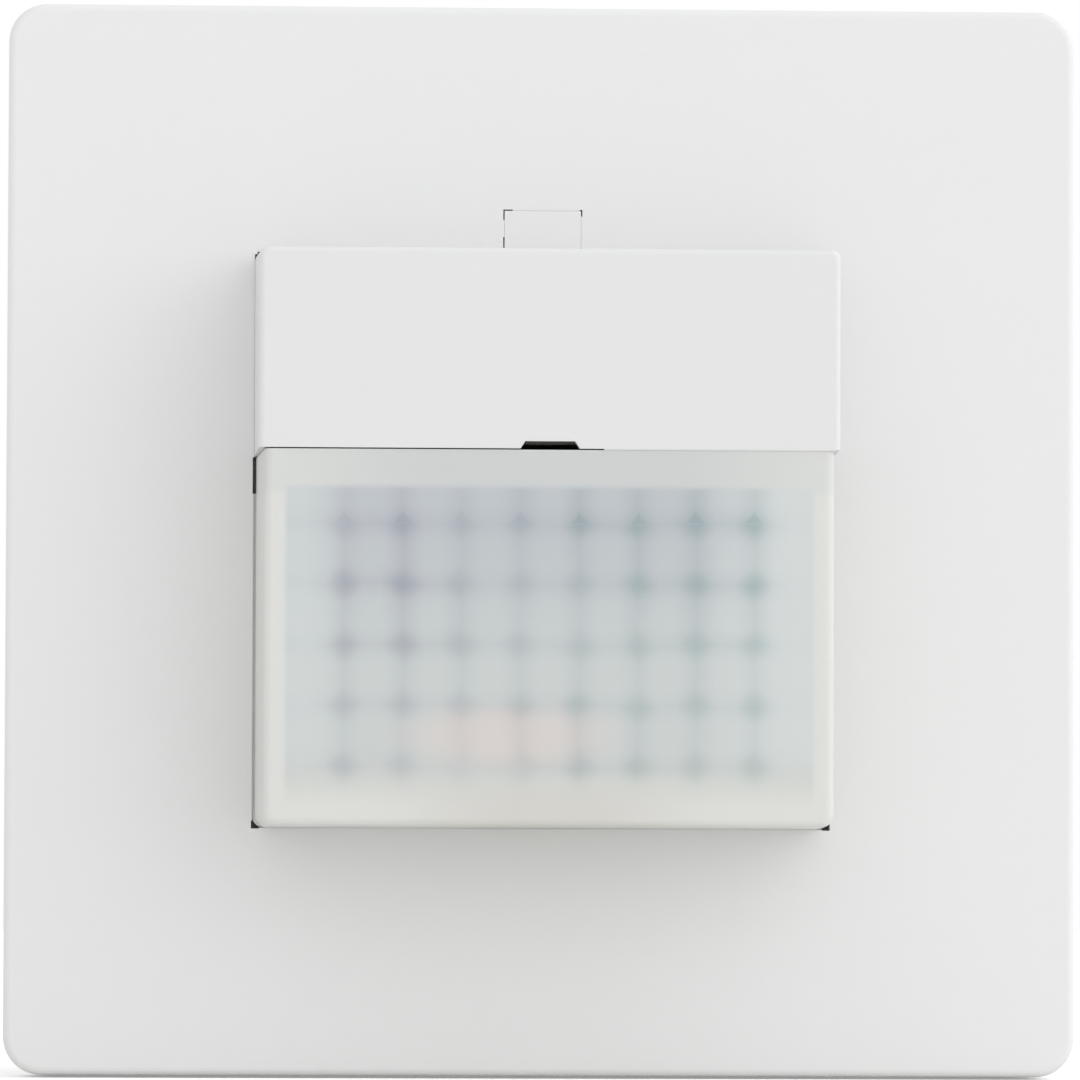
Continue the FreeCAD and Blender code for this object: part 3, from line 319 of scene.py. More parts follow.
def plasticMaterial(name):
    colour, roughness, grains, depth, mottle = plasticFinish[name]
    material, tree, shader = startMaterial(name)
    grain = placeGroup(tree, grainGroup, Colour=linear(*colour), Grain_per_metre=grains, Mottle=mottle,
                       Roughness=roughness)
    plug(tree, grain.outputs["Colour"], shader.inputs["Base Color"])
    plug(tree, grain.outputs["Roughness"], shader.inputs["Roughness"])
    shader.inputs["IOR"].default_value = 1.48
    bumpFrom(tree, shader, grain.outputs["Height"], depth * mm)
    return material


def metalMaterial(name):
    colour, stain, cloud, roughness, depth = metalFinish[name]
    material, tree, shader = startMaterial(name)
    plating = placeGroup(tree, platingGroup, Colour=linear(*colour), Stain=linear(*stain), Cloud=cloud,
                         Roughness=roughness)
    plug(tree, plating.outputs["Colour"], shader.inputs["Base Color"])
    plug(tree, plating.outputs["Roughness"], shader.inputs["Roughness"])
    shader.inputs["Metallic"].default_value = 1.0
    bumpFrom(tree, shader, plating.outputs["Height"], depth * mm)
    return material


lensFinish = {      # mm from the plate's middle; spans are (from, to), or (from, to, value, value)
    "pitch": 4.35, "rise": 4.5, "rowsTop": 0.6,
    "fieldLeft": (-19.9, -19.3), "fieldRight": (19.9, 19.3), "fieldLow": (-20.65, -17.65),
    "fieldHigh": (3.65, 3.05),
    # the darker top border colour is painted shade under the hood; the foot border colour darkens the foot
    # middle
    "border": (219, 219, 215), "borderTop": (204, 206, 205), "borderFoot": (211, 208, 203),
    "topEdge": (2.55, 3.15), "topAcross": (21.5, 8.0, 0.3, 1.0), "footEdge": (-17.5, -19.5),
    "footAcross": (15.0, 2.0),
    # dish colours; the darkest, upper one is painted shade under the hood
    "dishUnderHoodShade": (190, 194, 198), "dishLow": (202, 206, 205), "dishSide": (210, 214, 213),
    "dishFoot": (207, 208, 204), "topShade": (-12.0, 1.5), "footShade": (-15.5, -19.5),
    "rightShade": (9.0, 19.0), "leftShade": (-13.0, -20.0, 0.0, 0.75),
    "markLeft": (0.71, 0.71, 0.78, 1.0), "markRight": (0.66, 0.75, 0.76, 1.0), "markTurn": (-12.0, 8.0),
    "cornerAmount": 0.75, "lineAmount": 0.42, "rowShare": 0.7,
    "columnBand": (0.1, 0.5), "rowBand": (0.16, 0.5), "crossMark": 0.4, "roundMark": 0.6,   # in cells
    "markEdge": (0.4, 0.7), "peakEdge": (0.54, 0.62), "topRowBlur": 0.15, "topRowShare": 0.5,
    "leftFade": (-19.0, -15.5, 0.25, 1.0), "rightFade": (18.5, 15.5, 0.1, 1.0),
    "downFade": (-19.0, 1.0, 0.5, 1.0), "patchGrain": 95, "patchEdge": (0.3, 0.7, 0.5, 1.0),
    "shakeGrain": 260, "shake": 0.6,
    "warm": (216, 207, 203), "warmPlace": (-3.0, -15.1), "warmReach": (10.5, 3.2), "warmEdge": (1.0, 0.3),
    "warmAmount": 0.8,
    "clearPlace": (-4.4, -17.6), "clearReach": (4.6, 2.2), "clearEdge": (1.0, 0.4),
    "roughness": 0.42, "milk": 0.3, "milkDepth": 0.8, "milkTint": (1.0, 1.0, 0.95),
    "dishSpan": (0.5, 0.0), "dishBump": 0.012,
}


def facetField():
    # where the dishes lie behind the milky face, how dark the corners between them look, and where painted
    # shade falls on the upper dishes under the hood
    finish = lensFinish
    tree, source, out = shaderGroup("facetField", [
        ("Pitch", "NodeSocketFloat", finish["pitch"]), ("Rise", "NodeSocketFloat", finish["rise"]),
        ("Rows top", "NodeSocketFloat", finish["rowsTop"])],
        [(name, "NodeSocketFloat") for name in ("Field", "Corner", "Line", "Side", "Top", "Foot", "Warm",
                                                "Height")])

    def maths(operation, *values):
        return calc(tree, operation, *values)

    def span(value, name, **settings):
        return ramp(tree, value, *finish[name], **settings)

    def noise(grain):
        made = shaderNode(tree, "ShaderNodeTexNoise")
        plug(tree, place, made.inputs["Vector"])
        made.inputs["Scale"].default_value = finish[grain]
        return made.outputs[0]

    place = shaderNode(tree, "ShaderNodeTexCoord").outputs["Object"]
    parts = shaderNode(tree, "ShaderNodeSeparateXYZ")
    plug(tree, place, parts.inputs[0])
    plainX, plainZ = maths("DIVIDE", parts.outputs[0], mm), maths("DIVIDE", parts.outputs[2], mm)
    shake = maths("MULTIPLY", maths("SUBTRACT", noise("shakeGrain"), 0.5), finish["shake"])
    x, z = maths("ADD", plainX, shake), maths("SUBTRACT", plainZ, shake)
    # u and v run from -0.5 to 0.5 across each cell
    u = maths("SUBTRACT", maths("FRACT", maths("ADD", maths("DIVIDE", x, source.outputs["Pitch"]), 0.5)), 0.5)
    rows = maths("DIVIDE", maths("SUBTRACT", z, source.outputs["Rows top"]), source.outputs["Rise"])
    v = maths("SUBTRACT", maths("FRACT", rows), 0.5)

    def length(first, second):
        return maths("SQRT", maths("ADD", maths("MULTIPLY", first, first), maths("MULTIPLY", second, second)))

    def distance(spot, reach):
        return length(maths("DIVIDE", maths("SUBTRACT", x, spot[0]), reach[0]),
                      maths("DIVIDE", maths("SUBTRACT", z, spot[1]), reach[1]))

    field = span(plainX, "fieldLeft")
    for value, edge in ((plainX, "fieldRight"), (plainZ, "fieldLow"), (plainZ, "fieldHigh")):
        field = maths("MULTIPLY", field, span(value, edge))
    strength = maths("MULTIPLY", span(noise("patchGrain"), "patchEdge"), field)
    for fade in (span(x, "leftFade"), span(x, "rightFade"), span(z, "downFade", smooth=False)):
        strength = maths("MULTIPLY", strength, fade)
    # soft bands between the columns and the rows; where both meet, the dark corner marks
    away = length(u, v)
    columnBand, rowBand = span(maths("ABSOLUTE", u), "columnBand"), span(maths("ABSOLUTE", v), "rowBand")
    cross = maths("MULTIPLY", maths("MULTIPLY", columnBand, rowBand), finish["crossMark"])
    marks = maths("ADD", cross, maths("MULTIPLY", span(away, "markEdge"), finish["roundMark"]))
    # the marks of the top row are cut by the round lower edges of its dishes
    topRow = ramp(tree, z, finish["rowsTop"] - finish["topRowBlur"], finish["rowsTop"] + finish["topRowBlur"])
    peaks = maths("MULTIPLY", span(away, "peakEdge"), topRow)
    weaker = maths("SUBTRACT", 1.0, maths("MULTIPLY", topRow, finish["topRowShare"]))
    marks = maths("MAXIMUM", maths("MULTIPLY", marks, weaker), peaks)
    # no marks in the middle of the lowest row
    kept = maths("SUBTRACT", 1.0, span(distance(finish["clearPlace"], finish["clearReach"]), "clearEdge"))
    bands = maths("ADD", columnBand, maths("MULTIPLY", rowBand, finish["rowShare"]))
    warm = span(distance(finish["warmPlace"], finish["warmReach"]), "warmEdge")
    # the Top mask carries the painted shade on the upper dishes under the hood
    for name, mask in (
            ("Field", field), ("Corner", maths("MULTIPLY", maths("MULTIPLY", marks, kept), strength)),
            ("Line", maths("MULTIPLY", bands, strength)),
            ("Side", maths("MAXIMUM", span(plainX, "rightShade"), span(plainX, "leftShade"))),
            ("Top", span(plainZ, "topShade")), ("Foot", span(plainZ, "footShade")),
            ("Warm", maths("MULTIPLY", warm, field)),
            ("Height", maths("MULTIPLY", span(away, "dishSpan"), field))):
        plug(tree, mask, out.inputs[name])
    return tree


def lensMaterial():
    finish = lensFinish
    material, tree, shader = startMaterial("milkyLens")
    field = placeGroup(tree, facetField(), Pitch=finish["pitch"], Rise=finish["rise"],
                       Rows_top=finish["rowsTop"])
    parts = shaderNode(tree, "ShaderNodeSeparateXYZ")
    plug(tree, shaderNode(tree, "ShaderNodeTexCoord").outputs["Object"], parts.inputs[0])
    x, z = (calc(tree, "DIVIDE", parts.outputs[axis], mm) for axis in (0, 2))
    fromMiddle = calc(tree, "ABSOLUTE", x)
    dish = linear(*finish["dishLow"])
    # painted shade: the upper dishes darken towards the hood's lower edge, where less light reaches the lens
    for mask, colour in (("Top", "dishUnderHoodShade"), ("Side", "dishSide"), ("Foot", "dishFoot")):
        dish = blendColours(tree, field.outputs[mask], dish, linear(*finish[colour]))
    warm = calc(tree, "MULTIPLY", field.outputs["Warm"], finish["warmAmount"])
    dish = blendColours(tree, warm, dish, linear(*finish["warm"]))
    mark = blendColours(tree, ramp(tree, x, *finish["markTurn"]), finish["markLeft"], finish["markRight"])
    for mask, amount in (("Line", "lineAmount"), ("Corner", "cornerAmount")):
        share = calc(tree, "MULTIPLY", field.outputs[mask], finish[amount], clamp=True)
        dish = blendColours(tree, share, dish, mark, "MULTIPLY")
    border = linear(*finish["border"])
    # painted shade darkens the border's top middle under the hood; the border's foot middle is darkened too
    for name in ("top", "foot"):
        amount = calc(tree, "MULTIPLY", ramp(tree, z, *finish[name + "Edge"]),
                      ramp(tree, fromMiddle, *finish[name + "Across"]))
        border = blendColours(tree, amount, border, linear(*finish["border" + name.capitalize()]))
    plug(tree, blendColours(tree, field.outputs["Field"], border, dish), shader.inputs["Base Color"])
    shader.inputs["Roughness"].default_value = finish["roughness"]
    shader.inputs["Subsurface Weight"].default_value = finish["milk"]
    shader.inputs["Subsurface Radius"].default_value = finish["milkTint"]
    shader.inputs["Subsurface Scale"].default_value = finish["milkDepth"] * mm
    shader.inputs["IOR"].default_value = 1.5
    bumpFrom(tree, shader, field.outputs["Height"], finish["dishBump"] * mm)
    return material


boardFinish = {"mask": (28, 98, 58), "track": (58, 132, 78), "cellsPerMetre": 420, "roughness": 0.3,
               "offset": 0.37, "squash": 0.6, "squashEvery": 3, "trackWidth": 0.06, "trackBump": 0.03}


def boardMaterial():
    # solder mask over a maze of copper tracks
    finish = boardFinish
    material, tree, shader = startMaterial("circuitBoard")
    place = shaderNode(tree, "ShaderNodeTexCoord").outputs["Object"]
    turned = shaderNode(tree, "ShaderNodeMapping")
    turned.inputs["Rotation"].default_value = (math.pi / 2, 0, 0)
    plug(tree, place, turned.inputs["Vector"])
    maze = shaderNode(tree, "ShaderNodeTexBrick", offset=finish["offset"], squash=finish["squash"],
                      squash_frequency=finish["squashEvery"])
    maze.inputs["Scale"].default_value = finish["cellsPerMetre"]
    maze.inputs["Mortar Size"].default_value = finish["trackWidth"]
    plug(tree, turned.outputs[0], maze.inputs["Vector"])
    colour = blendColours(tree, maze.outputs["Fac"], linear(*finish["mask"]), linear(*finish["track"]))
    plug(tree, colour, shader.inputs["Base Color"])
    shader.inputs["Roughness"].default_value = finish["roughness"]
    bumpFrom(tree, shader, maze.outputs["Fac"], finish["trackBump"] * mm)
    return material


# colour, roughness, light let through
clearFinish = {"clearLamp": ((214, 226, 236), 0.08, 0.85), "redLamp": ((190, 34, 26), 0.1, 0.7),
               "darkFilter": ((40, 38, 46), 0.06, 0.15)}
hazeShape = {"grain": 900, "share": 0.12, "colour": (0.9, 0.9, 0.9, 1), "edge": (0.3, 0.7), "rougher": 0.08}


def clearMaterial(name):
    colour, roughness, through = clearFinish[name]
    material, tree, shader = startMaterial(name)
    place = shaderNode(tree, "ShaderNodeTexCoord").outputs["Object"]
    haze = shaderNode(tree, "ShaderNodeTexNoise")
    haze.inputs["Scale"].default_value = hazeShape["grain"]
    plug(tree, place, haze.inputs["Vector"])
    amount = calc(tree, "MULTIPLY", haze.outputs[0], hazeShape["share"])
    plug(tree, blendColours(tree, amount, linear(*colour), hazeShape["colour"]), shader.inputs["Base Color"])
    rough = ramp(tree, haze.outputs[0], *hazeShape["edge"], roughness, roughness + hazeShape["rougher"])
    plug(tree, rough, shader.inputs["Roughness"])
    shader.inputs["Transmission Weight"].default_value = through
    shader.inputs["IOR"].default_value = 1.5
    return material


finishes = {name: plasticMaterial(name) for name in plasticFinish}
finishes.update({name: metalMaterial(name) for name in metalFinish})
finishes.update({name: clearMaterial(name) for name in clearFinish})
finishes["milkyLens"] = lensMaterial()
finishes["circuitBoard"] = boardMaterial()

nodeFinish = {
    "coverWhite": ("cover_plate", "release_tab"),
    "hoodWhite": ("hood_cap",),
    "milkyLens": ("lens_window",),
    "chassisGrey": ("head_chassis",),
    "dialGrey": ("time_dial", "lux_dial"),
    "insertGrey": ("insert_housing",),
    "backGrey": ("rear_cover",),
    "connectorBlack": ("time_potentiometer", "lux_potentiometer", "sensor_holder", "plug_header",
                       "socket_header"),
    "circuitBoard": ("sensor_board", "power_board"),
    "springStrip": ("tab_spring", "retaining_springs"),
    "zincPlate": ("mounting_ring", "left_claw", "right_claw"),
    "screwZinc": ("sensor_board_screws", "ring_screws", "terminal_screw_1", "terminal_screw_2",
                  "terminal_screw_3", "left_claw_screw", "right_claw_screw"),
    "terminalBrass": ("plug_pins", "terminal_clamps"),
    "nickelCan": ("left_pyro_sensor", "right_pyro_sensor"),
    "darkFilter": ("pyro_filters",), "clearLamp": ("light_sensor",), "redLamp": ("status_led",),
    "relayBlue": ("relay",), "filmYellow": ("mains_capacitor",), "sleeveBlue": ("smoothing_capacitor",),
    "discBlue": ("varistor",), "fuseCeramic": ("fuse",), "ferrite": ("choke",),
}
for finish, members in nodeFinish.items():
    for member in members:
        for place in nodes[member].material_slots:
            place.material = finishes[finish]
print("finishes are on", sum(len(members) for members in nodeFinish.values()), "solids")


# small details, each built in place and carried by the body it belongs to

def shownPiece(name, mesh, body, finish):
    mesh.materials.clear()
    mesh.materials.append(finishes[finish])
    piece = bpy.data.objects.new(name, mesh)
    bpy.context.scene.collection.objects.link(piece)
    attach(piece, body)
    return piece


def geometryTree(name, setup):
    # every size of the setup becomes a named input, whole numbers as counts
    tree = bpy.data.node_groups.new(name, "GeometryNodeTree")
    for label, value in setup.items():
        kind = "NodeSocketInt" if isinstance(value, int) else "NodeSocketFloat"
        socket = tree.interface.new_socket(label, in_out="INPUT", socket_type=kind)
        socket.default_value = value
    tree.interface.new_socket("Geometry", in_out="OUTPUT", socket_type="NodeSocketGeometry")
    return tree, tree.nodes.new("NodeGroupInput").outputs, tree.nodes.new("NodeGroupOutput")


def step(tree, kind, settings=None, **sockets):
    # one geometry node: settings are its properties, sockets its inputs by name
    made = tree.nodes.new(kind)
    for name, value in (settings or {}).items():
        setattr(made, name, value)
    for name, value in sockets.items():
        plug(tree, value, made.inputs[name.replace("_", " ")])
    return made.outputs[0]


def vector(tree, x, y, z):
    return step(tree, "ShaderNodeCombineXYZ", X=x, Y=y, Z=z)


def standUp(tree, geometry, x, front, z):
    # what is drawn flat in mm is turned to face the room and put at x, front and z
    moved = vector(tree, calc(tree, "MULTIPLY", x, mm), calc(tree, "MULTIPLY", front, -mm),
                   calc(tree, "MULTIPLY", z, mm))
    return step(tree, "GeometryNodeTransform", Geometry=geometry, Translation=moved,
                Rotation=(math.pi / 2, 0, 0), Scale=(mm, mm, mm))


def finishTree(tree, out, geometry, finish):
    solid = step(tree, "GeometryNodeRealizeInstances", Geometry=geometry)
    plug(tree, step(tree, "GeometryNodeSetMaterial", Geometry=solid, Material=finishes[finish]),
         out.inputs["Geometry"])


def growMesh(name, tree, setup):
    # the inputs are set by their identifiers, then the evaluated result is kept as a plain mesh
    holder = bpy.data.objects.new(name, bpy.data.meshes.new(name))
    bpy.context.scene.collection.objects.link(holder)
    grow = holder.modifiers.new("grow", "NODES")
    grow.node_group = tree
    for item in tree.interface.items_tree:
        if item.in_out == "INPUT":
            grow[item.identifier] = setup[item.name]
    result = holder.evaluated_get(bpy.context.evaluated_depsgraph_get())
    mesh = bpy.data.meshes.new_from_object(result)
    mesh.name = name
    bpy.data.objects.remove(holder)
    faced = bmesh.new()
    faced.from_mesh(mesh)
    bmesh.ops.recalc_face_normals(faced, faces=faced.faces)
    faced.to_mesh(mesh)
    faced.free()
    return mesh


def joinedGeometry(tree, parts):
    made = tree.nodes.new("GeometryNodeJoinGeometry")
    for part in reversed(parts):
        tree.links.new(part, made.inputs[0])
    return made.outputs[0]


# concentric rings on the inside of every full cell of the lens
lensRings = {"columns": 9, "rows": 4, "pitch": 4.35, "rise": 4.5, "middleZ": -8.4, "inside": 22.3,
             "first": 0.55, "step": 0.5, "ridge": 0.045}
ringsPerCell, innerPoints, addedPoints, ridgeSides = 4, 20, 4, 3    # each ring outwards has more points


def makeLensRings():
    tree, given, out = geometryTree("lensRings", lensRings)
    ridge = step(tree, "GeometryNodeCurvePrimitiveCircle", Resolution=ridgeSides, Radius=given["ridge"])
    rings = []
    for order in range(ringsPerCell):
        radius = calc(tree, "ADD", given["first"], calc(tree, "MULTIPLY", given["step"], float(order)))
        ring = step(tree, "GeometryNodeCurvePrimitiveCircle", Radius=radius,
                    Resolution=innerPoints + addedPoints * order)
        rings.append(step(tree, "GeometryNodeCurveToMesh", Curve=ring, Profile_Curve=ridge))
    width = calc(tree, "MULTIPLY", given["pitch"], calc(tree, "SUBTRACT", given["columns"], 1.0))
    height = calc(tree, "MULTIPLY", given["rise"], calc(tree, "SUBTRACT", given["rows"], 1.0))
    grid = step(tree, "GeometryNodeMeshGrid", Size_X=width, Size_Y=height, Vertices_X=given["columns"],
                Vertices_Y=given["rows"])
    cells = step(tree, "GeometryNodeInstanceOnPoints", Points=grid, Instance=joinedGeometry(tree, rings))
    placed = standUp(tree, cells, 0.0, given["inside"], given["middleZ"])
    finishTree(tree, out, placed, "milkyLens")
    shownPiece("lensRings", growMesh("lensRings", tree, lensRings), "sensor_head", "milkyLens")


# moulded tick marks round both setting dials
dialTicks = {"dialX": 9.5, "dialZ": 13.5, "panel": 19.9, "radius": 5.35, "count": 11, "long": 0.8,
             "wide": 0.22, "proud": 0.12, "sweep": 270.0}


def makeDialTicks():
    tree, given, out = geometryTree("dialTicks", dialTicks)
    turn = calc(tree, "MULTIPLY", given["sweep"], math.pi / 180)
    start = calc(tree, "SUBTRACT", math.pi / 2, calc(tree, "MULTIPLY", turn, 0.5))
    arc = step(tree, "GeometryNodeCurveArc", {"mode": "RADIUS"}, Resolution=given["count"],
               Radius=given["radius"], Start_Angle=start, Sweep_Angle=turn)
    dots = tree.nodes.new("GeometryNodeCurveToPoints")
    dots.mode = "EVALUATED"
    plug(tree, arc, dots.inputs["Curve"])
    tick = step(tree, "GeometryNodeMeshCube", Size=vector(tree, given["long"], given["wide"], given["proud"]))
    place = step(tree, "GeometryNodeInputPosition")
    parts = shaderNode(tree, "ShaderNodeSeparateXYZ")
    plug(tree, place, parts.inputs[0])
    facing = calc(tree, "ARCTAN2", parts.outputs[1], parts.outputs[0])
    marks = step(tree, "GeometryNodeInstanceOnPoints", Points=dots.outputs[0], Instance=tick,
                 Rotation=vector(tree, 0.0, 0.0, facing))
    bothDials = [standUp(tree, marks, calc(tree, "MULTIPLY", given["dialX"], side), given["panel"],
                         given["dialZ"]) for side in (-1.0, 1.0)]
    finishTree(tree, out, joinedGeometry(tree, bothDials), "dialGrey")
    shownPiece("dialTicks", growMesh("dialTicks", tree, dialTicks), "sensor_head", "dialGrey")


# fine flutes round the edge of each setting dial
dialKnurl = {"count": 40, "flute": 0.11, "sides": 6, "sunk": 0.2, "low": 19.4, "high": 20.25}


def makeDialKnurl(node, body, name):
    # the dial's place and radius are measured on its solid
    low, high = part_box(node)
    middle = (low + high) / 2
    setup = dict(dialKnurl, radius=(high.x - low.x) / 2 / mm, dialX=middle.x / mm, dialZ=middle.z / mm)
    tree, given, out = geometryTree(name, setup)
    sunk = calc(tree, "MULTIPLY", given["flute"], given["sunk"])
    circle = step(tree, "GeometryNodeMeshCircle", Vertices=given["count"],
                  Radius=calc(tree, "SUBTRACT", given["radius"], sunk))
    flute = step(tree, "GeometryNodeMeshCylinder", Vertices=given["sides"], Radius=given["flute"],
                 Depth=calc(tree, "SUBTRACT", given["high"], given["low"]))
    row = step(tree, "GeometryNodeInstanceOnPoints", Points=circle, Instance=flute)
    halfway = calc(tree, "MULTIPLY", calc(tree, "ADD", given["low"], given["high"]), 0.5)
    finishTree(tree, out, standUp(tree, row, given["dialX"], halfway, given["dialZ"]), "dialGrey")
    shownPiece(name, growMesh(name, tree, setup), body, "dialGrey")


# grip ribs on both flat sides of the insert's housing
housingRibs = {"half": 20.0, "first": 7.0, "spacing": 1.5, "count": 6, "front": 1.0, "back": 20.5,
               "wide": 0.6, "proud": 0.25}


def makeHousingRibs():
    tree, given, out = geometryTree("housingRibs", housingRibs)
    length = calc(tree, "SUBTRACT", given["back"], given["front"])
    middle = calc(tree, "MULTIPLY", calc(tree, "ADD", given["back"], given["front"]), 0.5)
    size = vector(tree, calc(tree, "MULTIPLY", given["proud"], 2.0), length, given["wide"])
    rib = step(tree, "GeometryNodeMeshCube", Size=size)
    groups = []
    for side in (-1.0, 1.0):
        for end in (-1.0, 1.0):
            start = vector(tree, calc(tree, "MULTIPLY", given["half"], side), middle,
                           calc(tree, "MULTIPLY", given["first"], end))
            row = step(tree, "GeometryNodeMeshLine", Count=given["count"], Start_Location=start,
                       Offset=vector(tree, 0.0, 0.0, calc(tree, "MULTIPLY", given["spacing"], end)))
            groups.append(step(tree, "GeometryNodeInstanceOnPoints", Points=row, Instance=rib))
    placed = step(tree, "GeometryNodeTransform", Geometry=joinedGeometry(tree, groups), Scale=(mm, mm, mm))
    finishTree(tree, out, placed, "insertGrey")
    mesh = growMesh("housingRibs", tree, housingRibs)
    shownPiece("housingRibs", mesh, "insert", "insertGrey")


# a thin lip inside the plate's opening closes the gap round the head; it is left open at the lower corners
# and beside the upper left of the lens, where the photo shows the gap
plateLip = {"front": 10.49, "back": 10.2, "outside": 21.95, "hoodSide": 21.803, "hoodTop": 21.745,
            "lensSide": 21.83, "lensFoot": 21.828, "seam": 6.15, "openAbove": 3.4, "tabSide": 3.0,
            "lensCorner": 21.3, "hoodCorner": (21.62, 21.56), "tabGap": 0.085, "tabTop": 25.1, "lap": 0.05,
            "overTab": (0.7, 0.2), "rightOfTab": (2.9, 0.5), "leftOfTab": (2.1, 0.8)}
# the hood's lower edge meets the lens on the right; on the left of the pry notch the seam stays open
hoodLip = {"front": 23.47, "back": 23.2, "left": 4.0, "right": 21.2, "foot": 6.113, "top": 6.25}


def showBars(name, bars, setup, body):
    # bars are given by left, right, low and high, and lie between the front and the back of the setup
    build = bmesh.new()
    for left, right, low, high in bars:
        made = bmesh.ops.create_cube(build, size=1.0)["verts"]
        size = (abs(right - left), setup["front"] - setup["back"], high - low)
        middle = ((left + right) / 2, -(setup["front"] + setup["back"]) / 2, (low + high) / 2)
        for vertex in made:
            vertex.co = [(vertex.co[axis] * size[axis] + middle[axis]) * mm for axis in range(3)]
    bmesh.ops.recalc_face_normals(build, faces=build.faces)
    mesh = bpy.data.meshes.new(name)
    build.to_mesh(mesh)
    build.free()
    shownPiece(name, mesh, body, "coverWhite" if body == "plate" else "hoodWhite")


def makeLips():
    setup = plateLip
    outside, corner = setup["outside"], setup["lensCorner"]
    bars = [(-setup["lensSide"], -outside, -corner, setup["openAbove"]),
            (setup["lensSide"], outside, -corner, setup["seam"]),
            (-corner, corner, -outside, -setup["lensFoot"])]
    for side in (-1, 1):
        bars.append((side * setup["hoodSide"], side * outside, setup["seam"], setup["hoodTop"]))
        bars.append((side * setup["tabSide"], side * outside, setup["hoodTop"], outside))
        bars.append((side * setup["hoodCorner"][0], side * setup["hoodSide"], setup["hoodCorner"][1],
                     setup["hoodTop"]))
    # the gap beside the release tab is narrowed where the photo shows it faint
    gap, lap, tabSide, tabTop = setup["tabGap"], setup["lap"], setup["tabSide"], setup["tabTop"]
    over, right, left = setup["overTab"], setup["rightOfTab"], setup["leftOfTab"]
    bars += [(-tabSide + over[0], tabSide - over[1], tabTop - gap, tabTop + lap),
             (tabSide - gap, tabSide + lap, tabTop - right[0], tabTop - right[1]),
             (-tabSide - lap, -tabSide + gap, tabTop - left[0], tabTop - left[1])]
    showBars("plateLip", bars, setup, "plate")
    bar = tuple(hoodLip[edge] for edge in ("left", "right", "foot", "top"))
    showBars("hoodLip", [bar], hoodLip, "hood")


# little components and their bright ends, soldered on the back of the sensor board
boardParts = {"back": 5.4, "seed": 7, "wide": 26.0, "high": 7.0, "columns": 11, "rows": 4, "middleZ": -12.0,
              "length": 1.3, "narrow": 0.6, "tall": 0.45}
looseBy, placesFilled = ((-0.4, -0.3, 0), (0.4, 0.3, 0)), 0.72


def makeBoardParts():
    kinds = (("boardChips", "connectorBlack", "black_plastic", 1.0, 1.0),
             ("boardSolder", "nickelCan", "sensor_can", 1.5, 0.6))
    for name, finish, slotName, longer, taller in kinds:
        tree, given, out = geometryTree(name, boardParts)
        grid = step(tree, "GeometryNodeMeshGrid", Size_X=given["wide"], Size_Y=given["high"],
                    Vertices_X=given["columns"], Vertices_Y=given["rows"])
        shift = shaderNode(tree, "FunctionNodeRandomValue", data_type="FLOAT_VECTOR")
        shift.inputs[0].default_value, shift.inputs[1].default_value = looseBy
        plug(tree, given["seed"], shift.inputs["Seed"])
        loose = step(tree, "GeometryNodeSetPosition", Geometry=grid, Offset=shift.outputs[0])
        keep = shaderNode(tree, "FunctionNodeRandomValue", data_type="BOOLEAN")
        keep.inputs["Probability"].default_value = placesFilled
        plug(tree, given["seed"], keep.inputs["Seed"])
        quarter = shaderNode(tree, "FunctionNodeRandomValue", data_type="INT")
        quarter.inputs[4].default_value, quarter.inputs[5].default_value = 0, 1
        plug(tree, given["seed"], quarter.inputs["Seed"])
        size = vector(tree, calc(tree, "MULTIPLY", given["length"], longer),
                      calc(tree, "MULTIPLY", given["length"], given["narrow"]),
                      calc(tree, "MULTIPLY", given["tall"], 2.0 * taller))
        chip = step(tree, "GeometryNodeMeshCube", Size=size)
        turned = vector(tree, 0.0, 0.0, calc(tree, "MULTIPLY", quarter.outputs[2], math.pi / 2))
        parts = step(tree, "GeometryNodeInstanceOnPoints", Points=loose, Selection=keep.outputs[3],
                     Instance=chip, Rotation=turned)
        finishTree(tree, out, standUp(tree, parts, 0.0, given["back"], given["middleZ"]), finish)
        shownPiece(name, growMesh(name, tree, boardParts), "sensor_head", finish)


# screws with a domed head, a cross recess and a real thread, in place of the plain ones
threadShape = {"pitch": 0.5, "depth": 0.16, "sides": 24, "perTurn": 4,
               "dome": 0.35, "domeSteps": 6, "crown": 0.62, "flat": 0.55, "rim": 0.97, "rimHeight": 0.06,
               "crossWide": 0.24, "crossLong": 0.62, "crossDeep": 0.55, "crossFloor": 0.6, "crossOver": 1.05}


def islandsOf(mesh):
    # the separate solids of a mesh, as lists of corner positions
    links = list(range(len(mesh.vertices)))

    def root(corner):
        while links[corner] != corner:
            links[corner] = links[links[corner]]
            corner = links[corner]
        return corner

    samePlace = {}
    for corner in mesh.vertices:
        first = samePlace.setdefault(tuple(round(value, 7) for value in corner.co), corner.index)
        links[root(corner.index)] = root(first)
    for edge in mesh.edges:
        links[root(edge.vertices[0])] = root(edge.vertices[1])
    groups = {}
    for corner in mesh.vertices:
        groups.setdefault(root(corner.index), []).append(corner.co.copy())
    return list(groups.values())


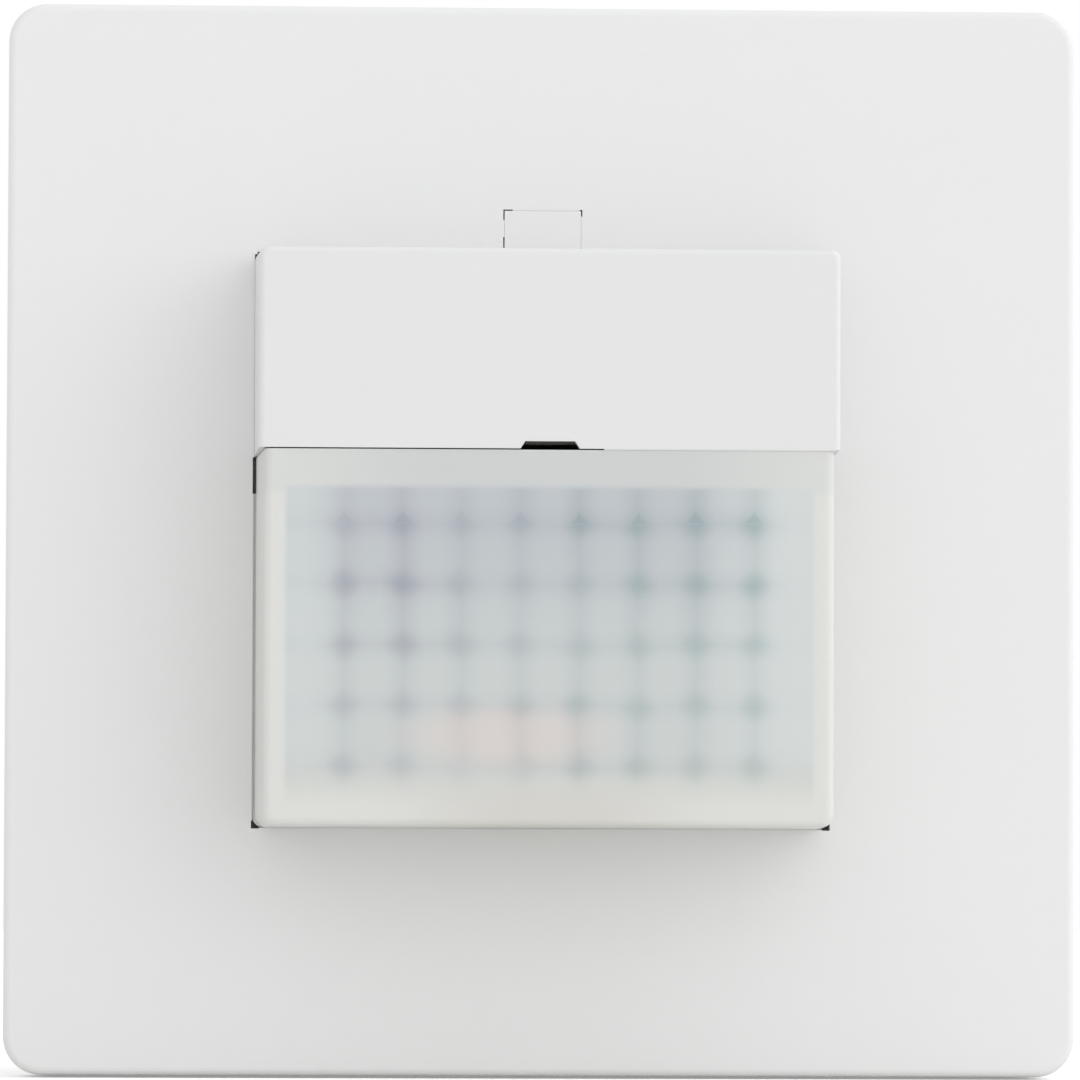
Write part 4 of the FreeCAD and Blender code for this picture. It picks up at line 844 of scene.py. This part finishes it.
def screwMesh(corners, along):
    # along is the axis the screw lies on; its head is at the end with the larger radius
    across = [axis for axis in range(3) if axis != along]
    low = [min(c[axis] for c in corners) for axis in range(3)]
    high = [max(c[axis] for c in corners) for axis in range(3)]
    middle = [(low[axis] + high[axis]) / 2 for axis in range(3)]

    def reach(c):
        return math.hypot(c[across[0]] - middle[across[0]], c[across[1]] - middle[across[1]])

    headRadius = max(reach(c) for c in corners)
    headEnds = [c[along] for c in corners if reach(c) > headRadius * 0.98]
    headAtHigh = abs(max(headEnds) - high[along]) < 1e-6
    top, foot = (high[along], low[along]) if headAtHigh else (low[along], high[along])
    under = min(headEnds) if headAtHigh else max(headEnds)
    shank = max(reach(c) for c in corners if abs(c[along] - foot) < 1e-6)
    toTop = 1 if headAtHigh else -1
    shape, build = threadShape, bmesh.new()
    sides, pitch = shape["sides"], shape["pitch"] * mm
    handed = -toTop if along == 1 else toTop    # a right-hand thread whichever way the screw points
    headHeight, length = abs(top - under), abs(under - foot)

    def ring(height, radii):
        made = []
        for side in range(sides):
            angle = 2 * math.pi * side / sides
            spot = [0.0, 0.0, 0.0]
            spot[along] = under + toTop * height
            spot[across[0]] = middle[across[0]] + radii[side] * math.cos(angle)
            spot[across[1]] = middle[across[1]] + radii[side] * math.sin(angle)
            made.append(build.verts.new(spot))
        return made

    rings = []
    stations = max(2, int(length / pitch * shape["perTurn"]))
    for station in range(stations + 1):
        height = -length + length * station / stations
        runOut = min(1.0, (length + height) / pitch) * min(1.0, -height / pitch)
        radii = []
        for side in range(sides):
            phase = (height / pitch - handed * side / sides) % 1.0
            radii.append(shank - shape["depth"] * mm * runOut * abs(2 * phase - 1))
        if station == 0:
            radii = [radius - shape["depth"] * mm for radius in radii]
        rings.append(ring(height, radii))
    dome = shape["dome"] * headHeight
    crown = shape["crown"]
    rings.append(ring(0.0, [headRadius * shape["rim"]] * sides))
    rings.append(ring(headHeight * shape["rimHeight"], [headRadius] * sides))
    for share in range(shape["domeSteps"]):
        angle = math.pi / 2 * share / shape["domeSteps"]
        rings.append(ring(headHeight - dome + dome * math.sin(angle),
                          [headRadius * (crown + (1 - crown) * math.cos(angle))] * sides))
    rings.append(ring(headHeight, [headRadius * shape["flat"]] * sides))
    for lower, upper in zip(rings, rings[1:]):
        for side in range(sides):
            after = (side + 1) % sides
            build.faces.new((lower[side], lower[after], upper[after], upper[side]))
    build.faces.new(rings[0][::-1])
    build.faces.new(rings[-1])
    bmesh.ops.recalc_face_normals(build, faces=build.faces)
    plain = bpy.data.meshes.new("screw")
    build.to_mesh(plain)
    build.free()
    # the cross recess narrows towards its floor
    cutter = bmesh.new()
    layers = []
    for height, share in ((headHeight * (1 - shape["crossDeep"]), shape["crossFloor"]),
                          (headHeight * shape["crossOver"], 1.0)):
        long, wide = headRadius * shape["crossLong"] * share, headRadius * shape["crossWide"] * 0.5
        layer = []
        for a, b in ((wide, wide), (wide, long), (-wide, long), (-wide, wide), (-long, wide),
                     (-long, -wide), (-wide, -wide), (-wide, -long), (wide, -long), (wide, -wide),
                     (long, -wide), (long, wide)):
            spot = [0.0, 0.0, 0.0]
            spot[along] = under + toTop * height
            spot[across[0]], spot[across[1]] = middle[across[0]] + a, middle[across[1]] + b
            layer.append(cutter.verts.new(spot))
        layers.append(layer)
    points = len(layers[0])
    for side in range(points):
        after = (side + 1) % points
        cutter.faces.new((layers[0][side], layers[0][after], layers[1][after], layers[1][side]))
    cutter.faces.new(layers[0])
    cutter.faces.new(layers[1][::-1])
    bmesh.ops.recalc_face_normals(cutter, faces=cutter.faces)
    bars = bpy.data.meshes.new("cross")
    cutter.to_mesh(bars)
    cutter.free()
    screw, tool = bpy.data.objects.new("screw", plain), bpy.data.objects.new("cross", bars)
    for made in (screw, tool):
        bpy.context.scene.collection.objects.link(made)
    carve = screw.modifiers.new("carve", "BOOLEAN")
    carve.operation, carve.object, carve.solver = "DIFFERENCE", tool, "EXACT"
    result = screw.evaluated_get(bpy.context.evaluated_depsgraph_get())
    mesh = bpy.data.meshes.new_from_object(result)
    for made in (screw, tool):
        bpy.data.objects.remove(made)
    return mesh


def makeScrews():
    # each node with its body, and the axis its screws lie on
    screws = (("ring_screws", "insert", 1), ("sensor_board_screws", "sensor_head", 1),
              ("left_claw_screw", "claw_screw_left", 1), ("right_claw_screw", "claw_screw_right", 1),
              ("terminal_screw_1", "clamp_screw_1", 2), ("terminal_screw_2", "clamp_screw_2", 2),
              ("terminal_screw_3", "clamp_screw_3", 2))
    for node, body, along in screws:
        together = bmesh.new()
        for corners in islandsOf(nodes[node].data):
            together.from_mesh(screwMesh(corners, along))
        mesh = bpy.data.meshes.new(node + "Threaded")
        together.to_mesh(mesh)
        together.free()
        piece = shownPiece(node + "Threaded", mesh, body, "screwZinc")
        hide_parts(node)


makeLensRings()
makeDialTicks()
makeDialKnurl("time_dial", "time_setting", "timeDialKnurl")
makeDialKnurl("lux_dial", "lux_setting", "luxDialKnurl")
makeHousingRibs()
makeLips()
makeBoardParts()
print("lens rings, dial marks, ribs, lips and board parts are placed")
makeScrews()
print("screws are threaded")
